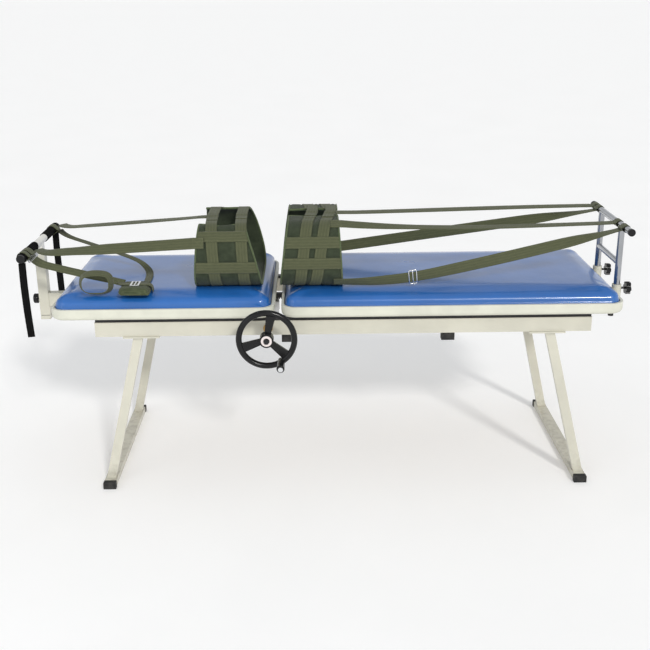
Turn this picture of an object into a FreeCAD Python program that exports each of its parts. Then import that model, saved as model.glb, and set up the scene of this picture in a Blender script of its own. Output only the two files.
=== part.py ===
import FreeCAD, Part
import math
import os
import re
import Sketcher

# A manual traction couch. Its head half is fixed to the frame and its leg half slides along two
# box rails, driven by a handwheel through a pinion and rack. Webbing straps tie a halter and a
# chest vest to a bar on the head mast, and a pelvic belt to a bar on the foot frame.
# Lengths are millimetres. +X runs from head to foot, +Y from the handwheel side to the far side,
# +Z up from the floor. Places in the sheet are measured from the couch's own middle, couch_x, mid_y.

SIZES = {
    # the couch's middle in the part's frame
    "couch_x": 32.5, "mid_y": 58.8,
    # box rails and the cross tubes between them
    "rail_x": 19, "rail_y": 255, "rail_z": 533, "rail_long": 1658, "rail_wide": 30,
    "rail_high": 50, "tube_wall": 2, "cross_wide": 30, "cross_high": 30,
    "cross_head": -770, "cross_drive": -290, "cross_mid": 60, "cross_knee": 300, "cross_foot": 800,
    # leg frames
    "head_leg_x": -671, "foot_leg_x": 714, "leg_lean": 122, "leg_splay": 32, "leg_deep": 32,
    "leg_wide": 25, "plate_long": 122, "plate_wide": 44, "plate_high": 5, "plate_shift": 12,
    "bolt_gap": 48, "bolt_bore": 4.3, "bolt_shank": 4, "bolt_flat": 7.5, "head_high": 5.3,
    "floor_bar_long": 640, "floor_bar_wide": 40, "floor_bar_high": 22, "cap_long": 20,
    "cap_wide": 43, "cap_high": 26, "cap_under": 2, "corner_soft": 4,
    # sliding bearing between the rails and the leg half
    "strip_wide": 24, "strip_high": 10, "runner_wide": 20, "spacer_high": 9, "slide_gap": 0.3,
    "spacer_x": -513, "spacer_long": 594, "runner_x": 360, "runner_long": 1080,
    "keeper_near": -168, "keeper_far": 370, "keeper_long": 44, "keeper_z": 504,
    "keeper_high": 27, "keeper_wide": 28, "hanger_y": 236, "hanger_long": 30, "hanger_thick": 4,
    # moulded trays, boards inside them and cushions on them
    "tray_z": 602, "tray_high": 38, "tray_wide": 620, "tray_round": 50, "tray_edge": 14,
    "head_x": -581, "head_long": 738, "leg_x": 380.5, "leg_long": 1139,
    "recess_inset": 9, "recess_deep": 8, "under_inset": 20, "board_high": 26,
    "cushion_high": 52, "cushion_gap": 1, "cushion_top_round": 20, "cushion_low_round": 5,
    "bumper_x": 908, "bumper_y": 279, "bumper_radius": 9, "bumper_high": 12,
    # handwheel drive
    "wheel_x": -235, "wheel_z": 557, "wheel_y": -385, "rim_radius": 90, "rim_thick": 10,
    "hub_radius": 23, "hub_long": 34, "spoke_root": 20, "spoke_tip": 32, "spoke_thick": 9,
    "shaft_radius": 8, "shaft_back": 52, "stud_radius": 5, "ring_radius": 17.5, "ring_bore": 10,
    "ring_thick": 2, "nut_radius": 9.5, "nut_long": 9, "bush_radius": 11, "bush_flange": 16,
    "boss_radius": 11, "knob_radius": 13, "knob_long": 56, "pin_radius": 5, "pin_head": 8,
    "tooth_size": 2.5, "pinion_wide": 20, "rack_wide": 18, "rack_start": -415,
    "rack_top": 599, "rack_pad_x": -102, "rack_pad_long": 136, "bearing_y": 22,
    "bearing_thick": 12, "bearing_wide": 70, "bearing_high": 40, "collar_radius": 18,
    "collar_thick": 10, "running_gap": 0.06,
    # head mast
    "mast_x": -1042, "mast_wide": 34, "mast_z": 531, "mast_high": 220, "sleeve_hole": 26.2,
    "mast_foot_high": 14, "gasket_high": 2, "gasket_wide": 31, "inner_wide": 26, "inner_z": 565,
    "bar_z": 796, "bar_radius": 13, "bar_half": 234, "bar_cap": 8, "wrap_radius": 16,
    "wrap_start": 62, "arm_wide": 30, "arm_high": 34, "arm_end": -755, "lug_high": 15,
    "lock_z": 589, "lock_radius": 17.5, "lock_thick": 17, "lock_stud": 4, "lock_hole": 4.3,
    "lock_reach": 5,
    # foot frame
    "foot_x": 970, "upright_y": 121, "upright_z": 575, "foot_tube": 11, "foot_bar_z": 859,
    "foot_bar_half": 222, "low_bar_z": 728, "foot_cap": 12.5, "foot_cap_long": 10,
    "socket_radius": 16, "socket_z": 600, "socket_high": 52, "socket_lug": 20,
    "socket_lug_z": 614, "socket_lug_high": 20, "star_radius": 22, "star_thick": 16,
    "star_z": 638, "star_reach": 14, "star_groove": 6,
    # harness
    "vest_x": -474, "vest_y": -55, "vest_long": 220, "vest_wide": 400, "vest_high": 212,
    "vest_round": 80, "vest_front_cut": 17, "vest_back_cut": 52, "belt_x": -190, "belt_y": -60,
    "belt_long": 205, "belt_wide": 410, "belt_high": 220, "belt_round": 84,
    "belt_front_cut": 28, "belt_back_cut": 12, "pad_thick": 7, "web_wide": 38,
    "web_thick": 2, "loop_thick": 2.5, "tail_wide": 24, "tail_long": 258, "tail_inset": 6,
    "buckle_long": 30, "buckle_wide": 50, "buckle_thick": 3, "buckle_slot_long": 7,
    "buckle_slot_wide": 40,
    "halter_x": -668, "halter_y": -259, "halter_long": 108, "halter_wide": 106,
    "halter_high": 28, "halter_round": 10, "halter_loop_x": -795, "halter_loop_y": -276,
    "halter_loop_long": 104, "halter_loop_high": 74, "halter_loop_round": 30,
}

X_AXIS = FreeCAD.Vector(1, 0, 0)
Y_AXIS = FreeCAD.Vector(0, 1, 0)
Z_AXIS = FreeCAD.Vector(0, 0, 1)
SIDES = (-1, 1)
SPOKE_ANGLES = (79, 199, 319)
CRANK_ANGLE = 300
PRESSURE_ANGLE = 20
PINION_TEETH = 18

doc = FreeCAD.newDocument("traction_couch")
sheet = doc.addObject("Spreadsheet::Sheet", "Sheet")
for row, (name, size) in enumerate(SIZES.items(), 1):
    sheet.set(f"A{row}", name)
    sheet.set(f"B{row}", str(size))
    sheet.setAlias(f"B{row}", name)
doc.recompute()

nodes = []


def size(name):
    return float(getattr(sheet, name))


def formula(text):
    """An expression whose words are cells of the sheet."""
    return re.sub(r"[a-z]\w*", r"Sheet.\g<0>", str(text))


def number(text):
    """What a formula in sheet names comes to."""
    filled = re.sub(r"[a-z]\w*", lambda word: repr(size(word.group())), str(text))
    return FreeCAD.Units.Quantity(filled).Value


def bind(piece, **texts):
    for prop, text in texts.items():
        piece.setExpression(prop, formula(text))


def place(piece, x, y, z):
    """Puts a piece at x and y from the couch's middle and at height z."""
    piece.setExpression("Placement.Base.x", formula(f"couch_x + {x}"))
    piece.setExpression("Placement.Base.y", formula(f"mid_y + {y}"))
    piece.setExpression("Placement.Base.z", formula(z))


def turn(piece, axis, degrees):
    piece.Placement = FreeCAD.Placement(FreeCAD.Vector(), FreeCAD.Rotation(axis, degrees))


def point(x, y, z):
    return FreeCAD.Vector(size("couch_x") + x, size("mid_y") + y, z)


def keep(piece):
    """Marks a piece as a sub-part that is written to a file of its own."""
    nodes.append(piece)
    return piece


# ---- solids that most pieces are made of ----

def box(name, long, wide, high, x, y, z):
    """A block centred on x and y, standing on z."""
    piece = doc.addObject("Part::Box", name)
    bind(piece, Length=long, Width=wide, Height=high)
    place(piece, f"{x} - ({long}) / 2", f"{y} - ({wide}) / 2", z)
    return piece


def rod(name, radius, long, x, y, z, axis=Z_AXIS):
    """A round bar that starts at the point given and runs along an axis."""
    piece = doc.addObject("Part::Cylinder", name)
    if axis == X_AXIS:
        turn(piece, Y_AXIS, 90)
    if axis == Y_AXIS:
        turn(piece, X_AXIS, -90)
    bind(piece, Radius=radius, Height=long)
    place(piece, x, y, z)
    return piece


def hexagon(name, radius, high, x, y, z, axis=Z_AXIS):
    piece = doc.addObject("Part::Prism", name)
    piece.Polygon = 6
    if axis == Y_AXIS:
        turn(piece, X_AXIS, -90)
    bind(piece, Circumradius=radius, Height=high)
    place(piece, x, y, z)
    return piece


def group(name, pieces):
    whole = doc.addObject("Part::Compound", name)
    whole.Links = pieces
    return whole


def join(name, pieces):
    whole = doc.addObject("Part::MultiFuse", name)
    whole.Shapes = pieces
    return whole


def cut(name, base, tools):
    whole = doc.addObject("Part::Cut", name)
    whole.Base = base
    whole.Tool = tools[0] if len(tools) == 1 else group(f"{name}_tools", tools)
    return whole


def soften(name, base, radius, wanted):
    """Rounds the edges of base that wanted picks."""
    doc.recompute()
    whole = doc.addObject("Part::Fillet", name)
    whole.Base = base
    chosen = [i for i, edge in enumerate(base.Shape.Edges, 1) if wanted(edge)]
    whole.Edges = [(i, size(radius), size(radius)) for i in chosen]
    return whole


def tube_x(name, long, wide, high, x, y, z):
    """A square tube that runs along X."""
    outer = box(f"{name}_outer", long, wide, high, x, y, z)
    inner_wide = f"({wide}) - 2 * tube_wall"
    inner_high = f"({high}) - 2 * tube_wall"
    inner = box(f"{name}_inner", f"({long}) + 2", inner_wide, inner_high, x, y, f"{z} + tube_wall")
    return cut(name, outer, [inner])


def tube_y(name, long, wide, high, x, y, z):
    """A square tube that runs along Y, long being its length."""
    outer = box(f"{name}_outer", wide, long, high, x, y, z)
    inner_wide = f"({wide}) - 2 * tube_wall"
    inner_high = f"({high}) - 2 * tube_wall"
    inner = box(f"{name}_inner", inner_wide, f"({long}) + 2", inner_high, x, y, f"{z} + tube_wall")
    return cut(name, outer, [inner])


# ---- sketches and bodies ----

def plane_of(body, role):
    return next(part for part in body.Origin.OriginFeatures if part.Role == role)


def sketch_on(body, name, role, lift="0"):
    sketch = body.newObject("Sketcher::SketchObject", name)
    sketch.AttachmentSupport = [(plane_of(body, role), "")]
    sketch.MapMode = "FlatFace"
    sketch.setExpression("AttachmentOffset.Base.z", formula(lift))
    return sketch


def rounded_rectangle(sketch, wide, high, radius):
    """Four lines and four arcs about the sketch's middle, held by constraints bound to the sheet."""
    x = number(wide) / 2
    y = number(high) / 2
    r = number(radius)
    ends = [(r - x, -y), (x - r, -y), (x, r - y), (x, y - r), (x - r, y), (r - x, y), (-x, y - r),
            (-x, r - y)]
    spots = [FreeCAD.Vector(across, up, 0) for across, up in ends]
    lines = [sketch.addGeometry(Part.LineSegment(spots[i], spots[i + 1])) for i in (0, 2, 4, 6)]
    arcs = []
    for i, (across, up) in enumerate([(x - r, r - y), (x - r, y - r), (r - x, y - r), (r - x, r - y)]):
        circle = Part.Circle(FreeCAD.Vector(across, up, 0), Z_AXIS, r)
        begin = math.radians(90 * i - 90)
        arcs.append(sketch.addGeometry(Part.ArcOfCircle(circle, begin, begin + math.pi / 2)))
    for i in range(4):
        sketch.addConstraint(Sketcher.Constraint("Tangent", lines[i], 2, arcs[i], 1))
        sketch.addConstraint(Sketcher.Constraint("Tangent", arcs[i], 2, lines[(i + 1) % 4], 1))
        sketch.addConstraint(Sketcher.Constraint(("Horizontal", "Vertical")[i % 2], lines[i]))
    for arc in arcs[1:]:
        sketch.addConstraint(Sketcher.Constraint("Equal", arcs[0], arc))
    sketch.addConstraint(Sketcher.Constraint("Symmetric", lines[0], 1, lines[2], 1, -1, 1))
    dimension(sketch, "wide", wide, "DistanceX", lines[3], 1, lines[1], 1)
    dimension(sketch, "high", high, "DistanceY", lines[0], 1, lines[2], 1)
    dimension(sketch, "radius", radius, "Radius", arcs[0])


def dimension(sketch, name, text, kind, *places):
    index = sketch.addConstraint(Sketcher.Constraint(kind, *places, number(text)))
    sketch.renameConstraint(index, name)
    sketch.setExpression(f"Constraints.{name}", formula(text))


def pad(body, name, sketch, depth):
    feature = body.newObject("PartDesign::Pad", name)
    feature.Profile = sketch
    feature.setExpression("Length", formula(depth))
    doc.recompute()
    return feature


def pocket(body, name, sketch, depth, upward=False):
    before = body.Shape.Volume
    feature = body.newObject("PartDesign::Pocket", name)
    feature.Profile = sketch
    feature.Reversed = upward
    feature.setExpression("Length", formula(depth))
    doc.recompute()
    if not body.Shape.Volume < before:
        raise ValueError(f"{name} removes nothing")
    return feature


def round_level(body, name, feature, radius, level):
    """Rounds the outer edges of a pad that lie level at one height above its sketch."""
    names = []
    for i, edge in enumerate(feature.Shape.Edges, 1):
        bounds = edge.BoundBox
        if abs(bounds.ZMin - level) < 0.01 and abs(bounds.ZMax - level) < 0.01:
            names.append(f"Edge{i}")
    fillet = body.newObject("PartDesign::Fillet", name)
    fillet.Base = (feature, names)
    fillet.setExpression("Radius", formula(radius))
    doc.recompute()
    return fillet


def slab(name, long, wide, high, radius):
    """A body that is one rounded slab standing on its own origin."""
    body = doc.addObject("PartDesign::Body", name)
    outline = sketch_on(body, f"{name}_outline", "XY_Plane")
    rounded_rectangle(outline, long, wide, radius)
    return body, pad(body, f"{name}_pad", outline, high)


# ---- frame ----

def bolt_places(side):
    """Where the bolts of one rail's two leg plates stand, along X."""
    plates = ("head_leg_x + plate_shift", "foot_leg_x - plate_shift")
    return [(f"{plate} + {end} * bolt_gap", f"{side} * rail_y") for plate in plates for end in SIDES]


def rail(name, side, driven):
    outer = box(f"{name}_outer", "rail_long", "rail_wide", "rail_high", "rail_x",
                f"{side} * rail_y", "rail_z")
    hollow = box(f"{name}_hollow", "rail_long + 2", "rail_wide - 2 * tube_wall",
                 "rail_high - 2 * tube_wall", "rail_x", f"{side} * rail_y", "rail_z + tube_wall")
    holes = [rod(f"{name}_hole_{i}", "bolt_bore", "3 * tube_wall", x, y, "rail_z - tube_wall")
             for i, (x, y) in enumerate(bolt_places(side))]
    if driven:
        holes.append(rod(f"{name}_shaft_hole", "bush_radius", "rail_wide + 2", "wheel_x",
                         f"{side} * rail_y - rail_wide / 2 - 1", "wheel_z", Y_AXIS))
    plates = [box(f"{name}_end_plate", "tube_wall", "rail_wide", "rail_high",
                  f"rail_x + {end} * (rail_long + tube_wall) / 2", f"{side} * rail_y", "rail_z")
              for end in SIDES]
    return keep(join(name, [cut(f"{name}_tube", outer, [hollow] + holes)] + plates))


def cross_tubes():
    tubes = []
    for spot in ("cross_head", "cross_drive", "cross_mid", "cross_knee", "cross_foot"):
        tubes.append(tube_y(f"{spot}_tube", "2 * rail_y - rail_wide", "cross_wide", "cross_high",
                            spot, "0", "rail_z"))
    keep(group("cross_tubes", tubes))


def leg_tube(name, side, end, x):
    """A tube cut level at both ends, leaning out along X and Y on its way to the floor bar."""
    top = doc.addObject("Part::Plane", f"{name}_top")
    bind(top, Length="leg_deep", Width="leg_wide")
    place(top, f"{x} - leg_deep / 2", f"{side} * (rail_y - 2) - leg_wide / 2", "rail_z - plate_high")
    tube = doc.addObject("Part::Extrusion", name)
    tube.Base = top
    tube.DirMode = "Custom"
    tube.Solid = True
    tube.setExpression("Dir.x", formula(f"{end} * leg_lean"))
    tube.setExpression("Dir.y", formula(f"{side} * leg_splay"))
    tube.setExpression("Dir.z", formula("cap_under + floor_bar_high + plate_high - rail_z"))
    return tube


def leg_frames():
    """Both ends' legs, floor bars, bar caps and the plates that bolt to the rails."""
    legs = []
    bars = []
    plates = []
    caps = []
    for name, end, x in (("head", -1, "head_leg_x"), ("foot", 1, "foot_leg_x")):
        bar_x = f"{x} + {end} * leg_lean"
        bars.append(tube_y(f"{name}_floor_bar", "floor_bar_long", "floor_bar_wide",
                           "floor_bar_high", bar_x, "0", "cap_under"))
        for side in SIDES:
            legs.append(leg_tube(f"{name}_leg", side, end, x))
            plates.append(leg_plate(f"{name}_plate", side, end, x))
            caps.append(floor_bar_cap(f"{name}_bar_cap", side, bar_x))
    keep(group("leg_tubes", legs))
    keep(group("floor_bars", bars))
    keep(group("leg_plates", plates))
    keep(group("floor_bar_caps", caps))


def leg_plate(name, side, end, x):
    plate_x = f"{x} - {end} * plate_shift"
    blank = box(f"{name}_blank", "plate_long", "plate_wide", "plate_high", plate_x,
                f"{side} * rail_y", "rail_z - plate_high")
    holes = [rod(f"{name}_hole", "bolt_bore", "plate_high + 2", f"{plate_x} + {i} * bolt_gap",
                 f"{side} * rail_y", "rail_z - plate_high - 1") for i in SIDES]
    return cut(name, blank, holes)


def floor_bar_cap(name, side, x):
    y = f"{side} * (floor_bar_long + cap_long) / 2"
    blank = box(f"{name}_blank", "cap_wide", "cap_long", "cap_high", x, y, "0")
    return soften(name, blank, "corner_soft", lambda edge: edge.BoundBox.ZMin > 1)


def leg_fasteners():
    bolts = []
    nuts = []
    for side in SIDES:
        for x, y in bolt_places(side):
            head = hexagon("bolt_head", "bolt_flat", "head_high", x, y,
                           "rail_z - plate_high - head_high")
            shank = rod("bolt_shank_rod", "bolt_shank", "plate_high + 3 * tube_wall + head_high", x,
                        y, "rail_z - plate_high - 0.5")
            bolts.append(join("leg_bolt", [head, shank]))
            blank = hexagon("nut_blank", "bolt_flat", "head_high", x, y, "rail_z + tube_wall")
            bore = rod("nut_bore", "bolt_shank + running_gap", "head_high + 2", x, y, "rail_z + 1")
            nuts.append(cut("leg_nut", blank, [bore]))
    keep(group("leg_bolts", bolts))
    keep(group("leg_nuts", nuts))


# ---- couch halves ----

def tray(name, x, long):
    body, blank = slab(name, long, "tray_wide", "tray_high", "tray_round")
    round_level(body, f"{name}_edge", blank, "tray_edge", 0)
    recess = sketch_on(body, f"{name}_recess_outline", "XY_Plane", "tray_high")
    rounded_rectangle(recess, f"{long} - 2 * recess_inset", "tray_wide - 2 * recess_inset",
                      "tray_round - recess_inset")
    pocket(body, f"{name}_recess", recess, "recess_deep")
    under = sketch_on(body, f"{name}_under_outline", "XY_Plane")
    rounded_rectangle(under, f"{long} - 2 * under_inset", "tray_wide - 2 * under_inset",
                      "tray_round - under_inset")
    pocket(body, f"{name}_under", under, "board_high", upward=True)
    place(body, x, "0", "tray_z")
    return keep(body)


def board(name, x, long):
    body, _ = slab(name, f"{long} - 2 * under_inset", "tray_wide - 2 * under_inset", "board_high",
                   "tray_round - under_inset")
    place(body, x, "0", "tray_z")
    return keep(body)


def cushion(name, x, long):
    inset = "recess_inset + cushion_gap"
    body, block = slab(name, f"{long} - 2 * ({inset})", f"tray_wide - 2 * ({inset})",
                       "cushion_high", f"tray_round - ({inset})")
    top = round_level(body, f"{name}_top", block, "cushion_top_round", size("cushion_high"))
    round_level(body, f"{name}_low", top, "cushion_low_round", 0)
    place(body, x, "0", "tray_z + tray_high - recess_deep")
    return keep(body)


def couch_half(name, x, long):
    tray(f"{name}_tray", x, long)
    board(f"{name}_board", x, long)
    cushion(f"{name}_cushion", x, long)


def tray_bumpers():
    """Rubber buttons under the outer corners of the leg half."""
    keep(group("tray_bumpers", [rod("tray_bumper", "bumper_radius", "bumper_high", "bumper_x",
                                    f"{side} * bumper_y", "tray_z - bumper_high")
                                for side in SIDES]))


def slide_bearing():
    """Nylon strips on the rails, spacer bars under the head half and runners under the leg half."""
    strip_z = "rail_z + rail_high"
    strips = []
    spacers = []
    runners = []
    for side in SIDES:
        y = f"{side} * rail_y"
        strips.append(box("slide_strip", "rail_long", "strip_wide", "strip_high", "rail_x", y,
                          strip_z))
        spacers.append(box("head_spacer", "spacer_long", "runner_wide", "spacer_high", "spacer_x",
                           y, f"{strip_z} + strip_high"))
        runners.append(box("leg_runner", "runner_long", "runner_wide", "spacer_high - slide_gap",
                           "runner_x", y, f"{strip_z} + strip_high + slide_gap"))
    keep(group("slide_strips", strips))
    keep(group("head_spacers", spacers))
    keep(group("leg_runners", runners))


def keepers():
    """Hangers pass inside the rails and carry blocks below them, so the leg half cannot lift."""
    hangers = []
    blocks = []
    for side in SIDES:
        for x in ("keeper_near", "keeper_far"):
            hangers.append(box("keeper_hanger", "hanger_long", "hanger_thick",
                               "tray_z - keeper_z - keeper_high", x, f"{side} * hanger_y",
                               "keeper_z + keeper_high"))
            y = f"{side} * (hanger_y - hanger_thick / 2 + keeper_wide / 2)"
            blocks.append(box("keeper_block", "keeper_long", "keeper_wide", "keeper_high", x, y,
                              "keeper_z"))
    keep(group("keeper_hangers", hangers))
    keep(group("keeper_blocks", blocks))


# ---- handwheel drive ----

def involute(base, radius):
    """Polar angle of an involute of the base circle where it reaches a radius."""
    roll = math.sqrt(max((radius / base) ** 2 - 1, 0))
    return roll - math.atan(roll)


def pinion_outline(play=0.12):
    """Tooth flanks from the root circle to the tip circle, one tooth after another.
    play is the width taken off each flank."""
    step = 4
    pitch = size("tooth_size") * PINION_TEETH / 2
    base = pitch * math.cos(math.radians(PRESSURE_ANGLE))
    tip = pitch + size("tooth_size")
    root = pitch - 1.25 * size("tooth_size")
    half = math.pi / 2 / PINION_TEETH - play / pitch + involute(base, pitch)
    rises = [base + (tip - base) * i / step for i in range(step + 1)]
    spots = []
    for tooth in range(PINION_TEETH):
        middle = math.pi / 2 + 2 * math.pi * tooth / PINION_TEETH
        flank = [(root, half)] + [(r, half - involute(base, r)) for r in rises]
        for r, angle in [(r, -angle) for r, angle in flank] + flank[::-1]:
            spots.append((r * math.cos(middle + angle), r * math.sin(middle + angle)))
    return spots


def pinion():
    """Spur pinion with its bore on the shaft. A tooth space faces straight up at rest."""
    shift = math.pi / PINION_TEETH
    corners = []
    for across, up in pinion_outline():
        x = across * math.cos(shift) - up * math.sin(shift)
        z = across * math.sin(shift) + up * math.cos(shift)
        corners.append(point(size("wheel_x") + x, -size("pinion_wide") / 2, size("wheel_z") + z))
    face = Part.Face(Part.makePolygon(corners + corners[:1]))
    solid = face.extrude(FreeCAD.Vector(0, size("pinion_wide"), 0))
    middle = point(size("wheel_x"), -size("pinion_wide"), size("wheel_z"))
    bore = Part.makeCylinder(size("shaft_radius"), 2 * size("pinion_wide"), middle, Y_AXIS)
    piece = doc.addObject("Part::Feature", "drive_pinion")
    piece.Shape = solid.cut(bore)
    return keep(piece)


def rack(play=0.12):
    """Straight rack whose tooth points down into the pinion's upper space at rest."""
    pitch = math.pi * size("tooth_size")
    pitch_z = size("wheel_z") + size("tooth_size") * PINION_TEETH / 2
    tip_z = pitch_z - size("tooth_size")
    root_z = pitch_z + 1.25 * size("tooth_size")
    slope = math.tan(math.radians(PRESSURE_ANGLE))
    count = round((size("rack_pad_x") + size("rack_pad_long") / 2 - size("rack_start")) / pitch)
    first = size("wheel_x") - pitch * round((size("wheel_x") - size("rack_start")) / pitch)
    outline = [(first - pitch / 2, size("rack_top")), (first - pitch / 2, root_z)]
    for i in range(count):
        middle = first + pitch * i
        at_tip = pitch / 4 - play - slope * (pitch_z - tip_z)
        at_root = pitch / 4 - play + slope * (root_z - pitch_z)
        outline += [(middle - at_root, root_z), (middle - at_tip, tip_z)]
        outline += [(middle + at_tip, tip_z), (middle + at_root, root_z)]
    end = first + pitch * (count - 0.5)
    outline += [(end, root_z), (end, size("rack_top"))]
    corners = [point(x, -size("rack_wide") / 2, z) for x, z in outline]
    face = Part.Face(Part.makePolygon(corners + corners[:1]))
    bar = doc.addObject("Part::Feature", "toothed_bar")
    bar.Shape = face.extrude(FreeCAD.Vector(0, size("rack_wide"), 0))
    foot = box("rack_foot", "rack_pad_long", "rack_wide", "tray_z - rack_top", "rack_pad_x", "0",
               "rack_top")
    keep(join("drive_rack", [bar, foot]))


def drive_shaft():
    front = "wheel_y - hub_long / 2"
    thick = rod("shaft_body", "shaft_radius", f"shaft_back - ({front})", "wheel_x", front,
                "wheel_z", Y_AXIS)
    stud = rod("shaft_stud", "stud_radius", "nut_long + 4", "wheel_x", f"{front} - nut_long - 2",
               "wheel_z", Y_AXIS)
    keep(join("drive_shaft", [thick, stud]))


def shaft_supports():
    """Bush in the front rail, a bearing block each side of the pinion and a collar behind them."""
    hollow = "shaft_radius + running_gap"
    face = "0 - rail_y - rail_wide / 2"
    sleeve = rod("bush_sleeve", "bush_radius", "rail_wide", "wheel_x", face, "wheel_z", Y_AXIS)
    flange = rod("bush_flange_disc", "bush_flange", "4", "wheel_x", f"{face} - 4", "wheel_z", Y_AXIS)
    bore = rod("bush_bore", hollow, "rail_wide + 10", "wheel_x", f"{face} - 6", "wheel_z", Y_AXIS)
    keep(cut("shaft_bush", join("bush_blank", [sleeve, flange]), [bore]))
    blocks = []
    for side in SIDES:
        blank = box("bearing_blank", "bearing_wide", "bearing_thick", "bearing_high",
                    "cross_drive + cross_wide / 2 + bearing_wide / 2", f"{side} * bearing_y",
                    "rail_z")
        hole = rod("bearing_hole", hollow, "bearing_thick + 2", "wheel_x",
                   f"{side} * bearing_y - bearing_thick / 2 - 1", "wheel_z", Y_AXIS)
        blocks.append(cut("bearing_block", blank, [hole]))
    keep(group("bearing_blocks", blocks))
    start = "bearing_y + bearing_thick / 2 + slide_gap"
    ring = rod("collar_blank", "collar_radius", "collar_thick", "wheel_x", start, "wheel_z", Y_AXIS)
    hole = rod("collar_hole", "shaft_radius", "collar_thick + 2", "wheel_x", f"{start} - 1",
               "wheel_z", Y_AXIS)
    keep(cut("shaft_collar", ring, [hole]))


def spoke(degrees):
    """A flat arm that widens from the hub to the rim."""
    arm = doc.addObject("Part::Wedge", "spoke")
    bind(arm, Xmin="0 - spoke_root / 2", Xmax="spoke_root / 2", X2min="0 - spoke_tip / 2",
         X2max="spoke_tip / 2", Ymin="hub_radius - 4", Ymax="rim_radius - rim_thick / 2",
         Zmin="0 - spoke_thick / 2", Zmax="spoke_thick / 2", Z2min="0 - spoke_thick / 2",
         Z2max="spoke_thick / 2")
    angle = math.radians(degrees)
    outward = FreeCAD.Vector(math.cos(angle), 0, math.sin(angle))
    turned = FreeCAD.Rotation(outward.cross(Y_AXIS), outward, Y_AXIS, "YZX")
    arm.Placement = FreeCAD.Placement(FreeCAD.Vector(), turned)
    place(arm, "wheel_x", "wheel_y", "wheel_z")
    return arm


def crank_place():
    """How far the crank's pin stands from the wheel's middle, along X and Z."""
    angle = math.radians(CRANK_ANGLE)
    across = f"wheel_x + {math.cos(angle):.6f} * rim_radius"
    up = f"wheel_z + {math.sin(angle):.6f} * rim_radius"
    return across, up


def handwheel():
    rim = doc.addObject("Part::Torus", "rim")
    turn(rim, X_AXIS, 90)
    bind(rim, Radius1="rim_radius", Radius2="rim_thick")
    place(rim, "wheel_x", "wheel_y", "wheel_z")
    hub = rod("hub", "hub_radius", "hub_long", "wheel_x", "wheel_y - hub_long / 2", "wheel_z",
              Y_AXIS)
    x, z = crank_place()
    boss = rod("crank_boss", "boss_radius", "2 * rim_thick + 4", x, "wheel_y - rim_thick - 2", z,
               Y_AXIS)
    whole = join("wheel_blank", [rim, hub, boss] + [spoke(angle) for angle in SPOKE_ANGLES])
    bore = rod("wheel_bore", "shaft_radius", "hub_long + 4", "wheel_x",
               "wheel_y - hub_long / 2 - 2", "wheel_z", Y_AXIS)
    pin_hole = rod("pin_hole", "pin_radius", "4 * rim_thick", x, "wheel_y - 2 * rim_thick", z,
                   Y_AXIS)
    keep(cut("handwheel", whole, [bore, pin_hole]))


def hub_trim():
    face = "wheel_y - hub_long / 2"
    ring = rod("ring_blank", "ring_radius", "ring_thick", "wheel_x", f"{face} - ring_thick",
               "wheel_z", Y_AXIS)
    hole = rod("ring_hole", "ring_bore", "ring_thick + 2", "wheel_x", f"{face} - ring_thick - 1",
               "wheel_z", Y_AXIS)
    keep(cut("hub_ring", ring, [hole]))
    blank = hexagon("hub_nut_blank", "nut_radius", "nut_long", "wheel_x", f"{face} - nut_long",
                    "wheel_z", Y_AXIS)
    bore = rod("hub_nut_bore", "stud_radius", "nut_long + 2", "wheel_x", f"{face} - nut_long - 1",
               "wheel_z", Y_AXIS)
    keep(cut("hub_nut", blank, [bore]))


def crank():
    """A pin fixed in the rim and the grip that spins on it."""
    x, z = crank_place()
    front = "wheel_y - rim_thick - 2"
    length = "knob_long + 2 * slide_gap"
    pin = rod("pin_shank", "pin_radius", f"{length} + 2 * rim_thick + 4", x, f"{front} - ({length})",
              z, Y_AXIS)
    head = rod("pin_button", "pin_head", "4", x, f"{front} - ({length}) - 4", z, Y_AXIS)
    keep(join("crank_pin", [pin, head]))
    grip = rod("grip_blank", "knob_radius", "knob_long", x, f"{front} - slide_gap - knob_long", z,
               Y_AXIS)
    rounded = soften("grip_round", grip, "corner_soft", lambda edge: edge.BoundBox.XLength > 1)
    bore = rod("grip_bore", "pin_radius + running_gap", "knob_long + 4", x,
               f"{front} - knob_long - 2", z, Y_AXIS)
    keep(cut("crank_knob", rounded, [bore]))


# ---- head mast ----

def mast_socket():
    outer = box("mast_outer_blank", "mast_wide", "mast_wide", "mast_high", "mast_x", "0", "mast_z")
    inner = box("mast_outer_hole", "sleeve_hole", "sleeve_hole", "mast_high + 2", "mast_x", "0",
                "mast_z - 1")
    hole = rod("lock_hole_rod", "lock_hole", "mast_wide / 2", "mast_x - mast_wide / 2 - 5", "0",
               "lock_z", X_AXIS)
    keep(cut("mast_socket", outer, [inner, hole]))
    keep(box("mast_gasket", "gasket_wide", "gasket_wide", "gasket_high", "mast_x", "0",
             "mast_z - gasket_high"))
    keep(box("mast_foot", "mast_wide", "mast_wide", "mast_foot_high", "mast_x", "0",
             "mast_z - gasket_high - mast_foot_high"))


def mast_arm():
    """The tube that carries the mast from the first cross tube, and the lug above its free end."""
    start = "mast_x + mast_wide / 2"
    tube = tube_x("mast_arm_tube", f"arm_end - ({start})", "arm_wide", "arm_high",
                  f"(arm_end + {start}) / 2", "0", "rail_z + cross_high")
    end = "head_x - head_long / 2"
    lug = box("mast_lug", f"{end} - ({start})", "arm_wide", "lug_high", f"({start} + {end}) / 2",
              "0", "rail_z + cross_high + arm_high")
    keep(group("mast_arm", [tube, lug]))


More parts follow.
